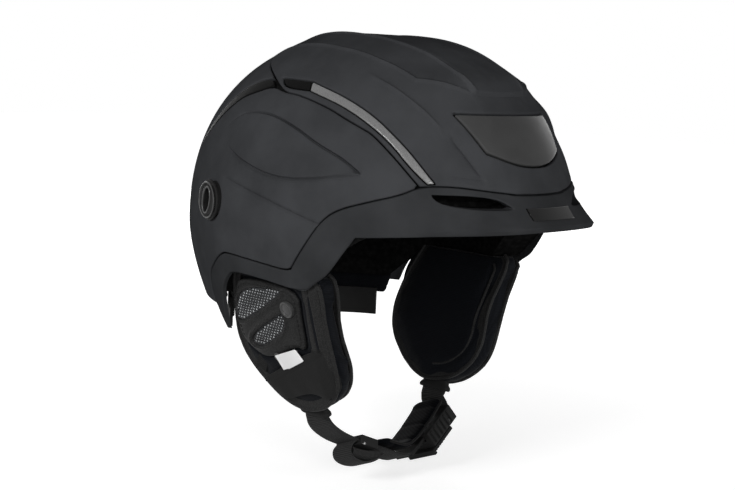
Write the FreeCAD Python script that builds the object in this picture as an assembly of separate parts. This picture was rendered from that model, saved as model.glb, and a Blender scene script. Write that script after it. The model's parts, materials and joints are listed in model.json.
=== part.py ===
import FreeCAD, Part
import math
import os

# A ski helmet of panelled hard shell over a foam liner, with ear pads, a chin strap with a
# ratchet buckle, a dial fit system at the nape and a goggle clip at the back.
# Frame: +Z up, the forehead faces -Y, the wearer's right side is -X. The origin is the middle
# of the head, level with the underside of the brow. Lengths are in millimetres.

V = FreeCAD.Vector
X_AXIS, Y_AXIS, Z_AXIS = V(1, 0, 0), V(0, 1, 0), V(0, 0, 1)
ORIGIN = V(0, 0, 0)

# Driving dimensions of the shell
SHELL_FRONT = 140.0
SHELL_REAR = 137.0
SHELL_HALF_WIDTH = 108.0
SHELL_HEIGHT = 121.0
SHELL_WALL = 2.4
FRONT_POWER = 2.1
REAR_POWER = 1.8
PROFILE_POWER = 2.2
TUCK_SHARE = 0.44
TUCK_POWER = 1.6
DEPTH_BELOW = 100.0
FINE_COLUMNS = 72
FINE_ROWS = 12
COARSE_COLUMNS = 36
COARSE_ROWS = 8
LOW_ROWS = 4
ROUND_SIDES = 28

# Clearances
SEAM = 0.8
FIT = 0.3
OVERRUN = 60.0

# Brim, which stands out from the shell and keeps its place on it
BRIM_REACH = 11.0
BRIM_SIDE_REACH = 8.4
BRIM_SIDE_ANGLE = 60.0
BRIM_END_ANGLE = 55.0
BRIM_TOP_SHARE = 0.281
BRIM_LIP = 3.5
BRIM_BEVEL = 1.5
BRIM_LOW_SHARE = 0.0413
BRIM_TEMPLE_SHARE = 0.55
BRIM_RISE_SHARE = 0.091
BRIM_RADIUS = SHELL_FRONT + BRIM_REACH
BRIM_SIDE = SHELL_HALF_WIDTH + BRIM_SIDE_REACH
BRIM_TOP = SHELL_HEIGHT * BRIM_TOP_SHARE
BRIM_LOW = SHELL_HEIGHT * BRIM_LOW_SHARE
BRIM_TEMPLE = SHELL_FRONT * BRIM_TEMPLE_SHARE

# Foam liner, given by its thickness inside the shell, and comfort pads
FOAM_SIDE = 24.0
FOAM_FRONT = 32.0
FOAM_REAR = 33.0
FOAM_TOP = 29.0
FOAM_FLOOR_SHARE = 0.182
FOAM_NAPE_SHARE = 0.380
CAVITY_HALF_WIDTH = SHELL_HALF_WIDTH - FOAM_SIDE
CAVITY_FRONT = SHELL_FRONT - FOAM_FRONT
CAVITY_REAR = SHELL_REAR - FOAM_REAR
CAVITY_HEIGHT = SHELL_HEIGHT - FOAM_TOP
CAVITY_TUCK_SHARE = 0.2
PAD_THICKNESS = 6.0
NECK_ROLL_THICKNESS = 4.0
NECK_ROLL_LENGTH = 14.0
NAPE_CLEARANCE = 5.0

# Inlays and openings of the shell
STRIPE_DEPTH = 1.3
STRIPE_RELIEF = 0.3
PETAL_RAISE = 0.9
PANEL_DEPTH = 1.4
PANEL_GAP = 1.2
PANEL_RAISE = 0.4
VENT_DEPTH = 14.0
PORT_Y_SHARE = 0.263
PORT_Z_SHARE = 0.132
PORT_Y = SHELL_REAR * PORT_Y_SHARE
PORT_Z = SHELL_HEIGHT * PORT_Z_SHARE
PORT_TURN = 15.8
PORT_RADIUS = 12.5
PORT_BARREL = 11.0
PORT_INSET = 9.0
PORT_HOLE_LONG = 7.5
PORT_HOLE_SHORT = 4.6
PORT_FLANGE = 1.4
PORT_DEPTH = 14.0
BADGE_HALF_WIDTH = 19.0
BADGE_HEIGHT = 6.5
BADGE_DROP = 15.0
BADGE_LOW = BRIM_TOP - BADGE_DROP
BADGE_DEPTH = 1.2

# Ear pads, in a plane that leans in below the shell and follows its side and the foam's floor
EAR_INSET = 13.0
EAR_HANG = 5.978
EAR_X = SHELL_HALF_WIDTH - EAR_INSET
EAR_Z = SHELL_HEIGHT * FOAM_FLOOR_SHARE + EAR_HANG
EAR_LEAN = 19.5
EAR_DROP = 89.0
EAR_THICKNESS = 18.0
EAR_SKIN = 2.0
EAR_COVER = 1.4
NET_THICKNESS = 0.8
NET_PITCH = 5.8
NET_HOLE = 3.8
SLEEVE_THICKNESS = 1.4
SNAP_RADIUS = 5.5
SNAP_HEIGHT = 1.8
TAG_THICKNESS = 0.6

# Chin strap, in a plane that leans forward below the ear pads
STRAP_WIDTH = 20.0
STRAP_THICKNESS = 1.8
STRAP_SLOT = 2.6
STRAP_DEPTH = 9.0
STRAP_Y = -14.0
CHIN_LEAN = 21.8
CHIN_SAG = 34.5
ANCHOR_LENGTH = 24.0
ANCHOR_HEIGHT = 4.0
ANCHOR_WIDTH = 7.0
GUIDE_WALL = 2.2
GUIDE_HEIGHT = 5.0
STRAP_TURN = 4.5
STRAP_FOLD = 3.7
KEEPER_LENGTH = 14.0
KEEPER_WALL = 1.8
KEEPER_SHARE = 0.28
CHIN_PAD_THICKNESS = 5.0
CHIN_PAD_WIDTH = 26.0

# Ratchet buckle
BUCKLE_TURN = 30.0
BUCKLE_LENGTH = 31.0
BUCKLE_WIDTH = 25.0
BUCKLE_HEIGHT = 11.0
BUCKLE_WALL = 2.0
BUCKLE_END = 4.0
TONGUE_LENGTH = 34.0
TONGUE_WIDTH = 15.0
TONGUE_HEIGHT = 2.2
TONGUE_IN = 17.0
TONGUE_OVERLAP = 7.0
TOOTH_PITCH = 2.8
TOOTH_HEIGHT = 1.0
TOOTH_COUNT = 9
LEVER_PIN_RADIUS = 1.3
LEVER_PIN_X = 8.0
LEVER_BOSS = 2.0
LEVER_PLATE = 2.2
LEVER_OVERHANG = 1.5
PAWL_X = -6.5
PAWL_LENGTH = 2.0

# Fit system at the nape, which follows the cavity's side and back and the foam's lowest edge
FIT_CLEARANCE = 8.0
FIT_DROP = 17.02
FIT_RADIUS = CAVITY_HALF_WIDTH - FIT_CLEARANCE
FIT_CENTRE_Y = CAVITY_REAR - CAVITY_HALF_WIDTH
FIT_Z = -SHELL_HEIGHT * FOAM_NAPE_SHARE - FIT_DROP
BAND_THICKNESS = 2.0
TAIL_TEETH = 8
BAND_TAIL_HEIGHT = 5.0
BAND_ARM_HEIGHT = 13.0
BAND_ARM_START = 34.0
BAND_ARM_END = 62.0
PINION_TEETH = 12
PINION_RADIUS = 6.0
PINION_WIDTH = 3.6
GEAR_ADDENDUM = 0.9
GEAR_DEDENDUM = 1.2
GEAR_BACKLASH = 0.3
DIAL_RADIUS = 12.3
DIAL_THICKNESS = 7.0
DIAL_GRIPS = 12
DIAL_SHAFT_RADIUS = 3.0
SHAFT_RUN = 0.05
HOUSING_HALF_WIDTH = 28.0
NAPE_GAP = HOUSING_HALF_WIDTH + NAPE_CLEARANCE
HOUSING_WALL = 2.0
NAPE_PAD_THICKNESS = 7.0
HANGER_HALF_WIDTH = 15.0
HANGER_THICKNESS = 1.5
HANGER_TOP = 18.0

# Goggle clip at the back
CLIP_Z = -6.0
CLIP_LEAN = 15.4
CLIP_WIDTH = 18.0
CLIP_LENGTH = 27.0
CLIP_BASE = 2.4
CLIP_GAP = 7.0
CLIP_ARM = 2.6
CLIP_PIN_RADIUS = 1.5
CLIP_LIP = 3.0

# Side-view outlines of the shell, as shares of its front length and its height
CROWN_SHARES = [
    (-1.214, 0.264), (-0.971, 0.264), (-0.936, 0.281), (-0.836, 0.306), (-0.743, 0.298),
    (-0.650, 0.413), (-0.536, 0.521), (-0.471, 0.554), (-0.400, 0.587), (-0.314, 0.628),
    (-0.214, 0.661), (-0.114, 0.686), (-0.029, 0.694), (0.050, 0.736), (0.136, 0.777),
    (0.286, 0.835), (0.500, 0.950), (0.500, 1.322), (-1.214, 1.322)]
REAR_SHARES = [
    (0.100, 0.756), (0.136, 0.777), (0.286, 0.835), (0.500, 0.950), (0.500, 1.322),
    (1.143, 1.322), (1.143, -0.430), (0.871, -0.430), (0.843, -0.248), (0.750, 0.083),
    (0.629, 0.331), (0.543, 0.463), (0.407, 0.620), (0.300, 0.694), (0.186, 0.744)]
REAR_STRIPE_SHARES = [
    (0.057, 0.719), (0.179, 0.678), (0.257, 0.653), (0.350, 0.587), (0.400, 0.545),
    (0.557, 0.405), (0.629, 0.331), (0.543, 0.463), (0.407, 0.620), (0.300, 0.694),
    (0.186, 0.744), (0.100, 0.752)]
SIDE_SHARES = [
    (-0.743, 0.298), (-0.650, 0.413), (-0.536, 0.521), (-0.471, 0.554), (-0.400, 0.587),
    (-0.314, 0.628), (-0.214, 0.661), (-0.114, 0.686), (-0.029, 0.694), (0.057, 0.719),
    (0.179, 0.678), (0.257, 0.653), (0.350, 0.587), (0.400, 0.545), (0.557, 0.405),
    (0.629, 0.331), (0.750, 0.083), (0.843, -0.248), (0.871, -0.430), (0.357, -0.430),
    (0.350, -0.347), (0.321, -0.256), (0.264, -0.198), (0.171, -0.124), (0.107, -0.116),
    (-0.093, -0.132), (-0.229, -0.149), (-0.264, -0.140), (-0.336, -0.017), (-0.400, 0.099),
    (-0.464, 0.165), (-0.586, 0.215), (-0.693, 0.256)]
LOWER_SHARES = [
    (-1.214, 0.264), (-0.971, 0.264), (-0.936, 0.281), (-0.836, 0.306), (-0.743, 0.298),
    (-0.693, 0.256), (-0.586, 0.215), (-0.464, 0.165), (-0.400, 0.099), (-0.336, -0.017),
    (-0.264, -0.140), (-0.229, -0.149), (-0.093, -0.132), (0.107, -0.116), (0.171, -0.124),
    (0.264, -0.198), (0.321, -0.256), (0.350, -0.347), (0.336, -0.471), (0.293, -0.570),
    (0.264, -0.479), (0.236, -0.388), (0.207, -0.306), (0.143, -0.240), (0.093, -0.207),
    (-0.093, -0.215), (-0.250, -0.240), (-0.300, -0.248), (-0.329, -0.240), (-0.364, -0.207),
    (-0.421, -0.165), (-0.457, -0.116), (-0.507, -0.033), (-0.550, 0.041), (-1.214, 0.112)]
STRIPE_SHARES = [
    (-0.143, 0.752), (-0.336, 0.694), (-0.500, 0.612), (-0.621, 0.512), (-0.700, 0.430),
    (-0.786, 0.314), (-0.764, 0.310), (-0.693, 0.388), (-0.607, 0.488), (-0.486, 0.579),
    (-0.343, 0.653), (-0.164, 0.707)]
STRIPE_END_SHARES = [(-0.143, 0.752), (0.036, 0.760), (-0.014, 0.715), (-0.164, 0.707)]
PETAL_SHARES = [
    (0.214, 0.562), (0.121, 0.587), (-0.021, 0.587), (-0.179, 0.537), (-0.321, 0.463),
    (-0.450, 0.405), (-0.536, 0.339), (-0.214, 0.273), (0.093, 0.355), (0.321, 0.463)]
FOAM_SHARES = [
    (-1.143, 0.107), (-0.843, 0.107), (-0.679, 0.083), (-0.571, 0.050), (-0.429, -0.083),
    (-0.343, -FOAM_FLOOR_SHARE), (0.214, -FOAM_FLOOR_SHARE), (0.300, -0.281),
    (0.393, -FOAM_NAPE_SHARE), (1.143, -FOAM_NAPE_SHARE),
    (1.143, 1.322), (-1.143, 1.322)]

# Front-view outlines, as shares of the half width and the height
PANEL_SHARES = [(-0.380, 0.632), (-0.306, 0.463), (-0.120, 0.401), (0.120, 0.401),
                (0.306, 0.463), (0.380, 0.632)]
VENT_SHARES = [(-0.611, 0.264), (-0.463, 0.264), (-0.324, 0.252), (-0.241, 0.207),
               (-0.444, 0.205), (-0.583, 0.221)]

# Top-view outline of the raised crown ridge, as shares of the half width and the front length
RIDGE_SHARES = [(-0.19, -0.70), (-0.24, -0.48), (-0.27, -0.20), (-0.22, 0.10), (-0.10, 0.32),
                (0.10, 0.32), (0.22, 0.10), (0.27, -0.20), (0.24, -0.48), (0.19, -0.70)]

# Ear pad outlines in the pad's own plane, as shares of its drop: forward is negative
EAR_PAD_SHARES = [
    (-0.58, 0.12), (-0.56, -0.20), (-0.55, -0.45), (-0.57, -0.64), (-0.52, -0.81),
    (-0.38, -0.94), (-0.22, -1.00), (0.00, -1.00), (0.17, -0.89), (0.30, -0.76),
    (0.38, -0.63), (0.41, -0.50), (0.38, -0.34), (0.34, -0.16), (0.27, -0.02), (0.20, 0.12)]
EAR_COVER_SHARES = [
    (-0.38, -0.03), (-0.34, -0.30), (-0.33, -0.55), (-0.24, -0.72), (0.00, -0.86),
    (0.14, -0.78), (0.26, -0.64), (0.33, -0.50), (0.33, -0.32), (0.27, -0.12), (0.20, -0.03)]
NET_UPPER_SHARES = [(0.17, -0.08), (-0.22, -0.05), (-0.19, -0.10), (0.32, -0.41), (0.31, -0.25)]
NET_LOWER_SHARES = [(-0.21, -0.22), (-0.17, -0.37), (0.14, -0.56), (0.25, -0.49), (-0.13, -0.25)]
SLEEVE_SHARES = [(-0.44, -0.49), (0.18, -0.83), (0.05, -0.98), (-0.32, -0.95), (-0.50, -0.80)]
TAG_SHARES = [(-0.01, -0.58), (-0.25, -0.48), (-0.31, -0.56), (-0.07, -0.69)]
SNAP_SHARES = (-0.26, -0.18)

# Chin strap and chin pad in the strap's own plane, as shares of its half span and its sag
STRAP_RIGHT_SHARES = [(-1.00, 0.03), (-0.97, -0.10), (-0.90, -0.22), (-0.78, -0.36), (-0.63, -0.48),
                      (-0.07, -0.87), (0.08, -0.98)]
STRAP_LEFT_SHARES = [(1.03, -0.18), (0.99, -0.06), (1.00, 0.03)]
CHIN_PAD_SHARES = [(-0.20, -0.62), (-0.05, -0.72), (0.13, -0.82), (0.33, -0.72), (0.85, -0.21),
                   (0.91, -0.07)]
BUCKLE_PLACE_SHARES = (0.80, -0.60)

# Comfort pads: side views as shares of the shell, top view of the crown pad as shares of the cavity
BROW_PAD_SHARES = [(-1.143, 0.140), (-0.300, 0.140), (-0.300, 0.360), (-1.143, 0.420)]
SIDE_PAD_SHARES = [(-0.240, 0.060), (0.300, 0.060), (0.300, 0.300), (-0.240, 0.300)]
REAR_PAD_SHARES = [(0.380, -0.120), (1.143, -0.120), (1.143, 0.260), (0.380, 0.260)]
CROWN_PAD_SHARES = [(-0.12, -0.44), (0.12, -0.44), (0.12, -0.12), (0.42, -0.12), (0.42, 0.12),
                    (0.12, 0.12), (0.12, 0.44), (-0.12, 0.44), (-0.12, 0.12), (-0.42, 0.12),
                    (-0.42, -0.12), (-0.12, -0.12)]


def polar_radius(angle, half_width, front, rear):
    """Radius of the egg-shaped plan at an angle from the front."""
    side, ahead = math.sin(angle), math.cos(angle)
    power, length = (FRONT_POWER, front) if ahead > 0 else (REAR_POWER, rear)
    total = abs(side / half_width) ** power + abs(ahead / length) ** power
    return total ** (-1 / power)


def plan_point(angle, radius, height):
    return V(radius * math.sin(angle), -radius * math.cos(angle), height)


def columns_of(count):
    return [2 * math.pi * k / count for k in range(count)]


def solid_of_rings(rings):
    """Closed solid through rings of points, top ring first, with flat four-sided or three-sided faces."""
    faces = []
    count = len(rings[0])
    for upper, lower in zip(rings, rings[1:]):
        for k in range(count):
            n = (k + 1) % count
            a, b, c, d = upper[k], upper[n], lower[n], lower[k]
            normal = (b - a).cross(d - a)
            lift = abs(normal.dot(c - a)) / max(normal.Length, 1)
            if lift < FIT / OVERRUN / 100:
                faces.append(Part.Face(Part.makePolygon([a, b, c, d, a])))
            else:
                faces.append(Part.Face(Part.makePolygon([a, b, c, a])))
                faces.append(Part.Face(Part.makePolygon([a, c, d, a])))
    for ring in (rings[0], rings[-1]):
        faces.append(Part.Face(Part.makePolygon(ring + [ring[0]])))
    shell = Part.makeShell(faces)
    shell.sewShape()
    solid = Part.Solid(shell)
    if solid.Volume < 0:
        solid.reverse()
    return solid


def dome(inset, columns=FINE_COLUMNS, rows=FINE_ROWS, half_width=SHELL_HALF_WIDTH,
         front=SHELL_FRONT, rear=SHELL_REAR, height=SHELL_HEIGHT, tuck_share=TUCK_SHARE):
    """Closed dome of the shell's form, drawn in by inset. A deeper inset reaches further down."""
    half_width, front, rear, height = (
        half_width - inset, front - inset, rear - inset, height - inset)
    levels = []
    for row in range(rows + 1):
        rise = math.pi / 2 * max(row, 1 / 3) / rows
        levels.append((math.sin(rise) ** (2 / PROFILE_POWER),
                       height * abs(math.cos(rise)) ** (2 / PROFILE_POWER) if row < rows else 0))
    depth = DEPTH_BELOW + inset
    for row in range(1, LOW_ROWS + 1):
        down = depth * row / LOW_ROWS
        levels.append((1 - tuck_share * (down / height) ** TUCK_POWER, -down))
    rings = [[plan_point(t, share * polar_radius(t, half_width, front, rear), z)
              for t in columns_of(columns)] for share, z in levels]
    return solid_of_rings(rings)


def offset_outline(points, grow):
    """The outline moved outwards by grow, with mitred corners."""
    count = len(points)
    area = sum(points[k][0] * points[(k + 1) % count][1] - points[(k + 1) % count][0] * points[k][1]
               for k in range(count))
    way = grow if area > 0 else -grow
    edges = []
    for k in range(count):
        (x0, y0), (x1, y1) = points[k], points[(k + 1) % count]
        length = math.hypot(x1 - x0, y1 - y0)
        nx, ny = (y1 - y0) / length, (x0 - x1) / length
        edges.append((x0 + nx * way, y0 + ny * way, x1 - x0, y1 - y0))
    out = []
    for k in range(count):
        x0, y0, dx0, dy0 = edges[k - 1]
        x1, y1, dx1, dy1 = edges[k]
        cross = dx0 * dy1 - dy0 * dx1
        t = ((x1 - x0) * dy1 - (y1 - y0) * dx1) / cross
        out.append((x0 + dx0 * t, y0 + dy0 * t))
    return out


def prism(points, place, direction):
    """Solid of an outline: place turns each outline pair into a point, direction is the extrusion."""
    ring = [place(a, b) for a, b in points]
    return Part.Face(Part.makePolygon(ring + [ring[0]])).extrude(direction)


def side_prism(shares, grow=0, start=0, reach=-SHELL_HALF_WIDTH - OVERRUN):
    """Side-view outline of the shell, extruded along X from start by reach."""
    points = [(y * SHELL_FRONT, z * SHELL_HEIGHT) for y, z in shares]
    return prism(offset_outline(points, grow), lambda y, z: V(start, y, z), V(reach, 0, 0))


def full_prism(shares, grow=0):
    half = SHELL_HALF_WIDTH + OVERRUN
    return side_prism(shares, grow, -half, 2 * half)


def front_prism(shares, grow=0):
    """Front-view outline of the shell, extruded forwards along -Y."""
    points = [(x * SHELL_HALF_WIDTH, z * SHELL_HEIGHT) for x, z in shares]
    return prism(offset_outline(points, grow), lambda x, z: V(x, 0, z),
                 V(0, -SHELL_FRONT - OVERRUN, 0))


def mirrored(shape):
    return shape.mirror(ORIGIN, X_AXIS)


def box(low, high):
    """Block between two corners."""
    size = [b - a for a, b in zip(low, high)]
    return Part.makeBox(*size, V(*low))


parts = {}
outer = dome(0)
inner = dome(SHELL_WALL, COARSE_COLUMNS, COARSE_ROWS)
raised = dome(-PETAL_RAISE)
stripe_floor = dome(STRIPE_DEPTH)
stripe_top = dome(STRIPE_RELIEF)


def skin_piece(top, floor, cutter):
    """The part of the shell between two domes inside a prism."""
    return top.common(cutter).cut(floor)


# Crown shell with its raised ridge, stripe channels and front recess
crown_shell = skin_piece(outer, inner, full_prism(CROWN_SHARES, -SEAM / 2))
ridge_points = [(x * SHELL_HALF_WIDTH, y * SHELL_FRONT) for x, y in RIDGE_SHARES]
ridge_prism = prism(ridge_points, lambda x, y: V(x, y, 0), V(0, 0, SHELL_HEIGHT + OVERRUN))
ridge = raised.common(ridge_prism).common(full_prism(CROWN_SHARES, -SEAM / 2)).cut(stripe_top)
crown_shell = crown_shell.fuse(ridge)
for shares in (STRIPE_SHARES, STRIPE_END_SHARES):
    channel = side_prism(shares, SEAM / 2).cut(stripe_floor)
    crown_shell = crown_shell.cut(channel).cut(mirrored(channel))
recess = front_prism(PANEL_SHARES, PANEL_GAP).cut(dome(PANEL_DEPTH))
crown_shell = crown_shell.cut(recess)
parts["crown_shell"] = crown_shell

panel = skin_piece(dome(-PANEL_RAISE), dome(PANEL_DEPTH - FIT / 2), front_prism(PANEL_SHARES))
parts["front_panel"] = panel

parts["rear_shell"] = skin_piece(outer, inner, full_prism(REAR_SHARES, -SEAM / 2))

for name, shares in (("reflector_stripe", STRIPE_SHARES), ("stripe_end", STRIPE_END_SHARES)):
    inlay = skin_piece(stripe_top, dome(STRIPE_DEPTH - FIT / 2), side_prism(shares, -FIT))
    parts[name + "_right"] = inlay
    parts[name + "_left"] = mirrored(inlay)
rear_stripe = skin_piece(stripe_top, inner, side_prism(REAR_STRIPE_SHARES, -SEAM / 2))
parts["rear_stripe_right"] = rear_stripe
parts["rear_stripe_left"] = mirrored(rear_stripe)


def at_port(shape):
    """Puts a shape made about the X axis, outwards to -X, at the port of the right side."""
    turned = shape.copy()
    turned.rotate(ORIGIN, Z_AXIS, -PORT_TURN)
    power = REAR_POWER
    share = (1 - (PORT_Y / SHELL_REAR) ** power) ** (1 / power)
    turned.translate(V(-share * SHELL_HALF_WIDTH, PORT_Y, PORT_Z))
    return turned


def port_bar(radius, low, high, sides=ROUND_SIDES, stretch=0):
    """Bar along the port's axis, from low to high outwards, stretched up and down into a slot."""
    ring = []
    for k in range(sides):
        angle = 2 * math.pi * (k + 1 / 2) / sides
        z = radius * math.sin(angle)
        ring.append(V(-low, radius * math.cos(angle), z + math.copysign(stretch, z)))
    return Part.Face(Part.makePolygon(ring + ring[:1])).extrude(V(low - high, 0, 0))


# Side shells with their raised petal and port hole
side_shell = skin_piece(outer, inner, side_prism(SIDE_SHARES, -SEAM / 2))
petal = skin_piece(raised, stripe_top, side_prism(PETAL_SHARES))
side_shell = side_shell.fuse(petal)
side_shell = side_shell.cut(at_port(port_bar(PORT_BARREL + FIT, -OVERRUN / 4, OVERRUN / 4)))
parts["side_shell_right"] = side_shell
parts["side_shell_left"] = mirrored(side_shell)

slanted = port_bar(PORT_HOLE_SHORT, -OVERRUN / 2, OVERRUN / 2, ROUND_SIDES // 2 * 2,
                   PORT_HOLE_LONG - PORT_HOLE_SHORT)
slanted.rotate(ORIGIN, X_AXIS, PORT_TURN)
ring = port_bar(PORT_RADIUS, FIT * 3, FIT * 3 + PORT_FLANGE)
ring = ring.fuse(port_bar(PORT_BARREL, -SHELL_WALL * 2, FIT * 3))
second = port_bar(PORT_INSET, 0, FIT * 3 + PORT_FLANGE * 2)
second.translate(V(0, -PORT_FLANGE, 0))
ring = ring.fuse(second).cut(slanted)
port_ring = at_port(ring)
parts["port_ring_right"] = port_ring
parts["port_ring_left"] = mirrored(port_ring)


def brim_stack(inset):
    """The flare of the brim: from the brow seam out to the lip, then the bevel under it."""
    rings = [[], [], []]
    for angle in columns_of(FINE_COLUMNS):
        turn = abs((angle + math.pi) % (2 * math.pi) - math.pi)
        share = (1 - (BRIM_TOP / SHELL_HEIGHT) ** PROFILE_POWER) ** (1 / PROFILE_POWER)
        skin = polar_radius(angle, SHELL_HALF_WIDTH, SHELL_FRONT, SHELL_REAR)
        if turn < math.radians(BRIM_END_ANGLE):
            side = BRIM_SIDE / math.cos(turn - math.radians(BRIM_SIDE_ANGLE))
            lip = min(BRIM_RADIUS, side)
        else:
            lip = skin - BRIM_BEVEL
        rings[0].append(plan_point(angle, share * skin - FIT - inset, BRIM_TOP))
        for ring, radius, lift in ((1, lip - inset, BRIM_LIP), (2, lip - BRIM_BEVEL - inset, 0)):
            ahead = radius * math.cos(angle) - BRIM_TEMPLE
            rings[ring].append(plan_point(angle, radius, BRIM_LOW + BRIM_RISE_SHARE * ahead + lift))
    return solid_of_rings(rings)


# Lower shell: brow band with the brim, temples and the frame behind the ears
brim = brim_stack(0)
lower_shell = outer.fuse(brim).common(full_prism(LOWER_SHARES, -SEAM / 2)).cut(inner)
vent = front_prism(VENT_SHARES)
lower_shell = lower_shell.cut(vent).cut(mirrored(vent))
badge_box = box((-BADGE_HALF_WIDTH, -BRIM_RADIUS - OVERRUN, BADGE_LOW),
                (BADGE_HALF_WIDTH, 0, BADGE_LOW + BADGE_HEIGHT))
badge_floor = brim_stack(BADGE_DEPTH)
badge_seat = box((-BADGE_HALF_WIDTH - FIT, -BRIM_RADIUS - OVERRUN, BADGE_LOW - FIT),
                 (BADGE_HALF_WIDTH + FIT, 0, BADGE_LOW + BADGE_HEIGHT + FIT)).cut(badge_floor)
lower_shell = lower_shell.cut(badge_seat)
parts["lower_shell"] = lower_shell
parts["brow_badge"] = brim_stack(-FIT).common(badge_box).cut(brim_stack(BADGE_DEPTH - FIT / 2))

# Foam liner with its cavity, vent pockets, port pockets and strap anchor pockets
cavity_size = dict(columns=COARSE_COLUMNS, rows=COARSE_ROWS, half_width=CAVITY_HALF_WIDTH,
                   front=CAVITY_FRONT, rear=CAVITY_REAR, height=CAVITY_HEIGHT,
                   tuck_share=CAVITY_TUCK_SHARE)
cavity = dome(0, **cavity_size)
foam = dome(SHELL_WALL + FIT, COARSE_COLUMNS, COARSE_ROWS)
foam = foam.common(full_prism(FOAM_SHARES)).cut(cavity)
pocket = vent.cut(dome(VENT_DEPTH, COARSE_COLUMNS, COARSE_ROWS))
port_pocket = at_port(port_bar(PORT_BARREL + FIT, -PORT_DEPTH, OVERRUN / 4))
foam_floor = FOAM_FLOOR_SHARE * SHELL_HEIGHT
lean = math.radians(EAR_LEAN)
anchor_rise = (EAR_Z - foam_floor + ANCHOR_HEIGHT - STRAP_DEPTH * math.sin(lean)) / math.cos(lean)
anchor_x = EAR_X - STRAP_DEPTH * math.cos(lean) + anchor_rise * math.sin(lean)
anchor_low = (-anchor_x - ANCHOR_WIDTH / 2 - FIT, STRAP_Y - ANCHOR_LENGTH / 2 - FIT, -foam_floor)
anchor_high = (-anchor_x + ANCHOR_WIDTH / 2 + FIT, STRAP_Y + ANCHOR_LENGTH / 2 + FIT,
               -foam_floor + ANCHOR_HEIGHT * 2)
anchor_pocket = box(anchor_low, anchor_high)
for cutter in (pocket, port_pocket, anchor_pocket):
    foam = foam.cut(cutter).cut(mirrored(cutter))
parts["foam_liner"] = foam

# Comfort pads on the cavity wall
pad_top = dome(FIT, **cavity_size)
pad_floor = dome(FIT + PAD_THICKNESS, **cavity_size)
for name, shares in (("brow_pad", BROW_PAD_SHARES), ("side_pads", SIDE_PAD_SHARES),
                     ("rear_pad", REAR_PAD_SHARES)):
    parts[name] = pad_top.common(full_prism(shares)).cut(pad_floor)
cross = [(x * CAVITY_HALF_WIDTH, y * CAVITY_FRONT) for x, y in CROWN_PAD_SHARES]
cross_prism = prism(cross, lambda x, y: V(x, y, 0), V(0, 0, SHELL_HEIGHT))
parts["crown_pad"] = pad_top.common(cross_prism).cut(pad_floor)

# Neck roll on each side of the nape, under the foam liner
roll_top = FOAM_NAPE_SHARE * SHELL_HEIGHT
roll_high, roll_low = -(roll_top + FIT) / SHELL_HEIGHT, -(roll_top + NECK_ROLL_LENGTH) / SHELL_HEIGHT
roll_shares = [(0.380, roll_high), (1.143, roll_high), (1.143, roll_low), (0.380, roll_low)]
roll = dome(SHELL_WALL + 2 * FIT, COARSE_COLUMNS, COARSE_ROWS).common(side_prism(roll_shares, 0, -NAPE_GAP))
roll = roll.cut(dome(SHELL_WALL + 2 * FIT + NECK_ROLL_THICKNESS, COARSE_COLUMNS, COARSE_ROWS))
parts["neck_roll_right"] = roll
parts["neck_roll_left"] = mirrored(roll)


def at_ear(shape):
    """Puts a shape made in the ear pad's plane (inwards is +X) on the leaning right side."""
    leaning = shape.copy()
    leaning.rotate(ORIGIN, Y_AXIS, -EAR_LEAN)
    leaning.translate(V(-EAR_X, 0, -EAR_Z))
    return leaning


def ear_points(shares, grow=0):
    return offset_outline([(y * EAR_DROP, z * EAR_DROP) for y, z in shares], grow)


def ear_plate(shares, depth, thickness, grow=0):
    """Plate in the ear pad's plane, from depth inwards by thickness."""
    return prism(ear_points(shares, grow), lambda y, z: V(depth, y, z), V(thickness, 0, 0))


def ear_ring(depth, grow):
    return [V(depth, y, z) for y, z in ear_points(EAR_PAD_SHARES, grow)]


def net_plate(shares, depth):
    """Flat net of square holes inside the outline."""
    plate = ear_plate(shares, depth, NET_THICKNESS, SEAM)
    inside = ear_points(shares, -NET_HOLE / 2)
    window = Part.Face(Part.makePolygon([V(0, y, z) for y, z in inside + inside[:1]]))
    ys, zs = [p[0] for p in inside], [p[1] for p in inside]
    holes = []
    y = min(ys)
    while y < max(ys):
        z = min(zs)
        while z < max(zs):
            if window.isInside(V(0, y, z), FIT, True):
                holes.append(box((depth - OVERRUN, y - NET_HOLE / 2, z - NET_HOLE / 2),
                                 (depth + OVERRUN, y + NET_HOLE / 2, z + NET_HOLE / 2)))
            z += NET_PITCH
        y += NET_PITCH
    return plate.cut(Part.makeCompound(holes))


# Ear pads: cushion, outer cover with two net windows, sleeve, snap and tag
cushion = solid_of_rings([ear_ring(EAR_SKIN, -EAR_SKIN * 2), ear_ring(EAR_THICKNESS / 3, 0),
                          ear_ring(EAR_THICKNESS * 2 / 3, 0), ear_ring(EAR_THICKNESS, -EAR_SKIN * 3)])
slot_low = STRAP_DEPTH - STRAP_SLOT / 2
strap_slot = box((slot_low, STRAP_Y - STRAP_WIDTH / 2 - FIT * 2, -EAR_DROP - OVERRUN),
                 (slot_low + STRAP_SLOT, STRAP_Y + STRAP_WIDTH / 2 + FIT * 2, OVERRUN))
cushion = at_ear(cushion.cut(strap_slot))
ceiling = box((-SHELL_HALF_WIDTH - OVERRUN, -SHELL_FRONT, -foam_floor - FIT),
              (0, SHELL_FRONT, OVERRUN))
ear_pad = cushion.cut(ceiling)
cover = ear_plate(EAR_COVER_SHARES, EAR_SKIN - FIT - EAR_COVER, EAR_COVER)
for shares in (NET_UPPER_SHARES, NET_LOWER_SHARES):
    cover = cover.cut(ear_plate(shares, -OVERRUN, 2 * OVERRUN, SEAM + FIT))
nets = [net_plate(shares, EAR_SKIN - FIT - NET_THICKNESS)
        for shares in (NET_UPPER_SHARES, NET_LOWER_SHARES)]
cover_top = EAR_SKIN - FIT - EAR_COVER
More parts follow.
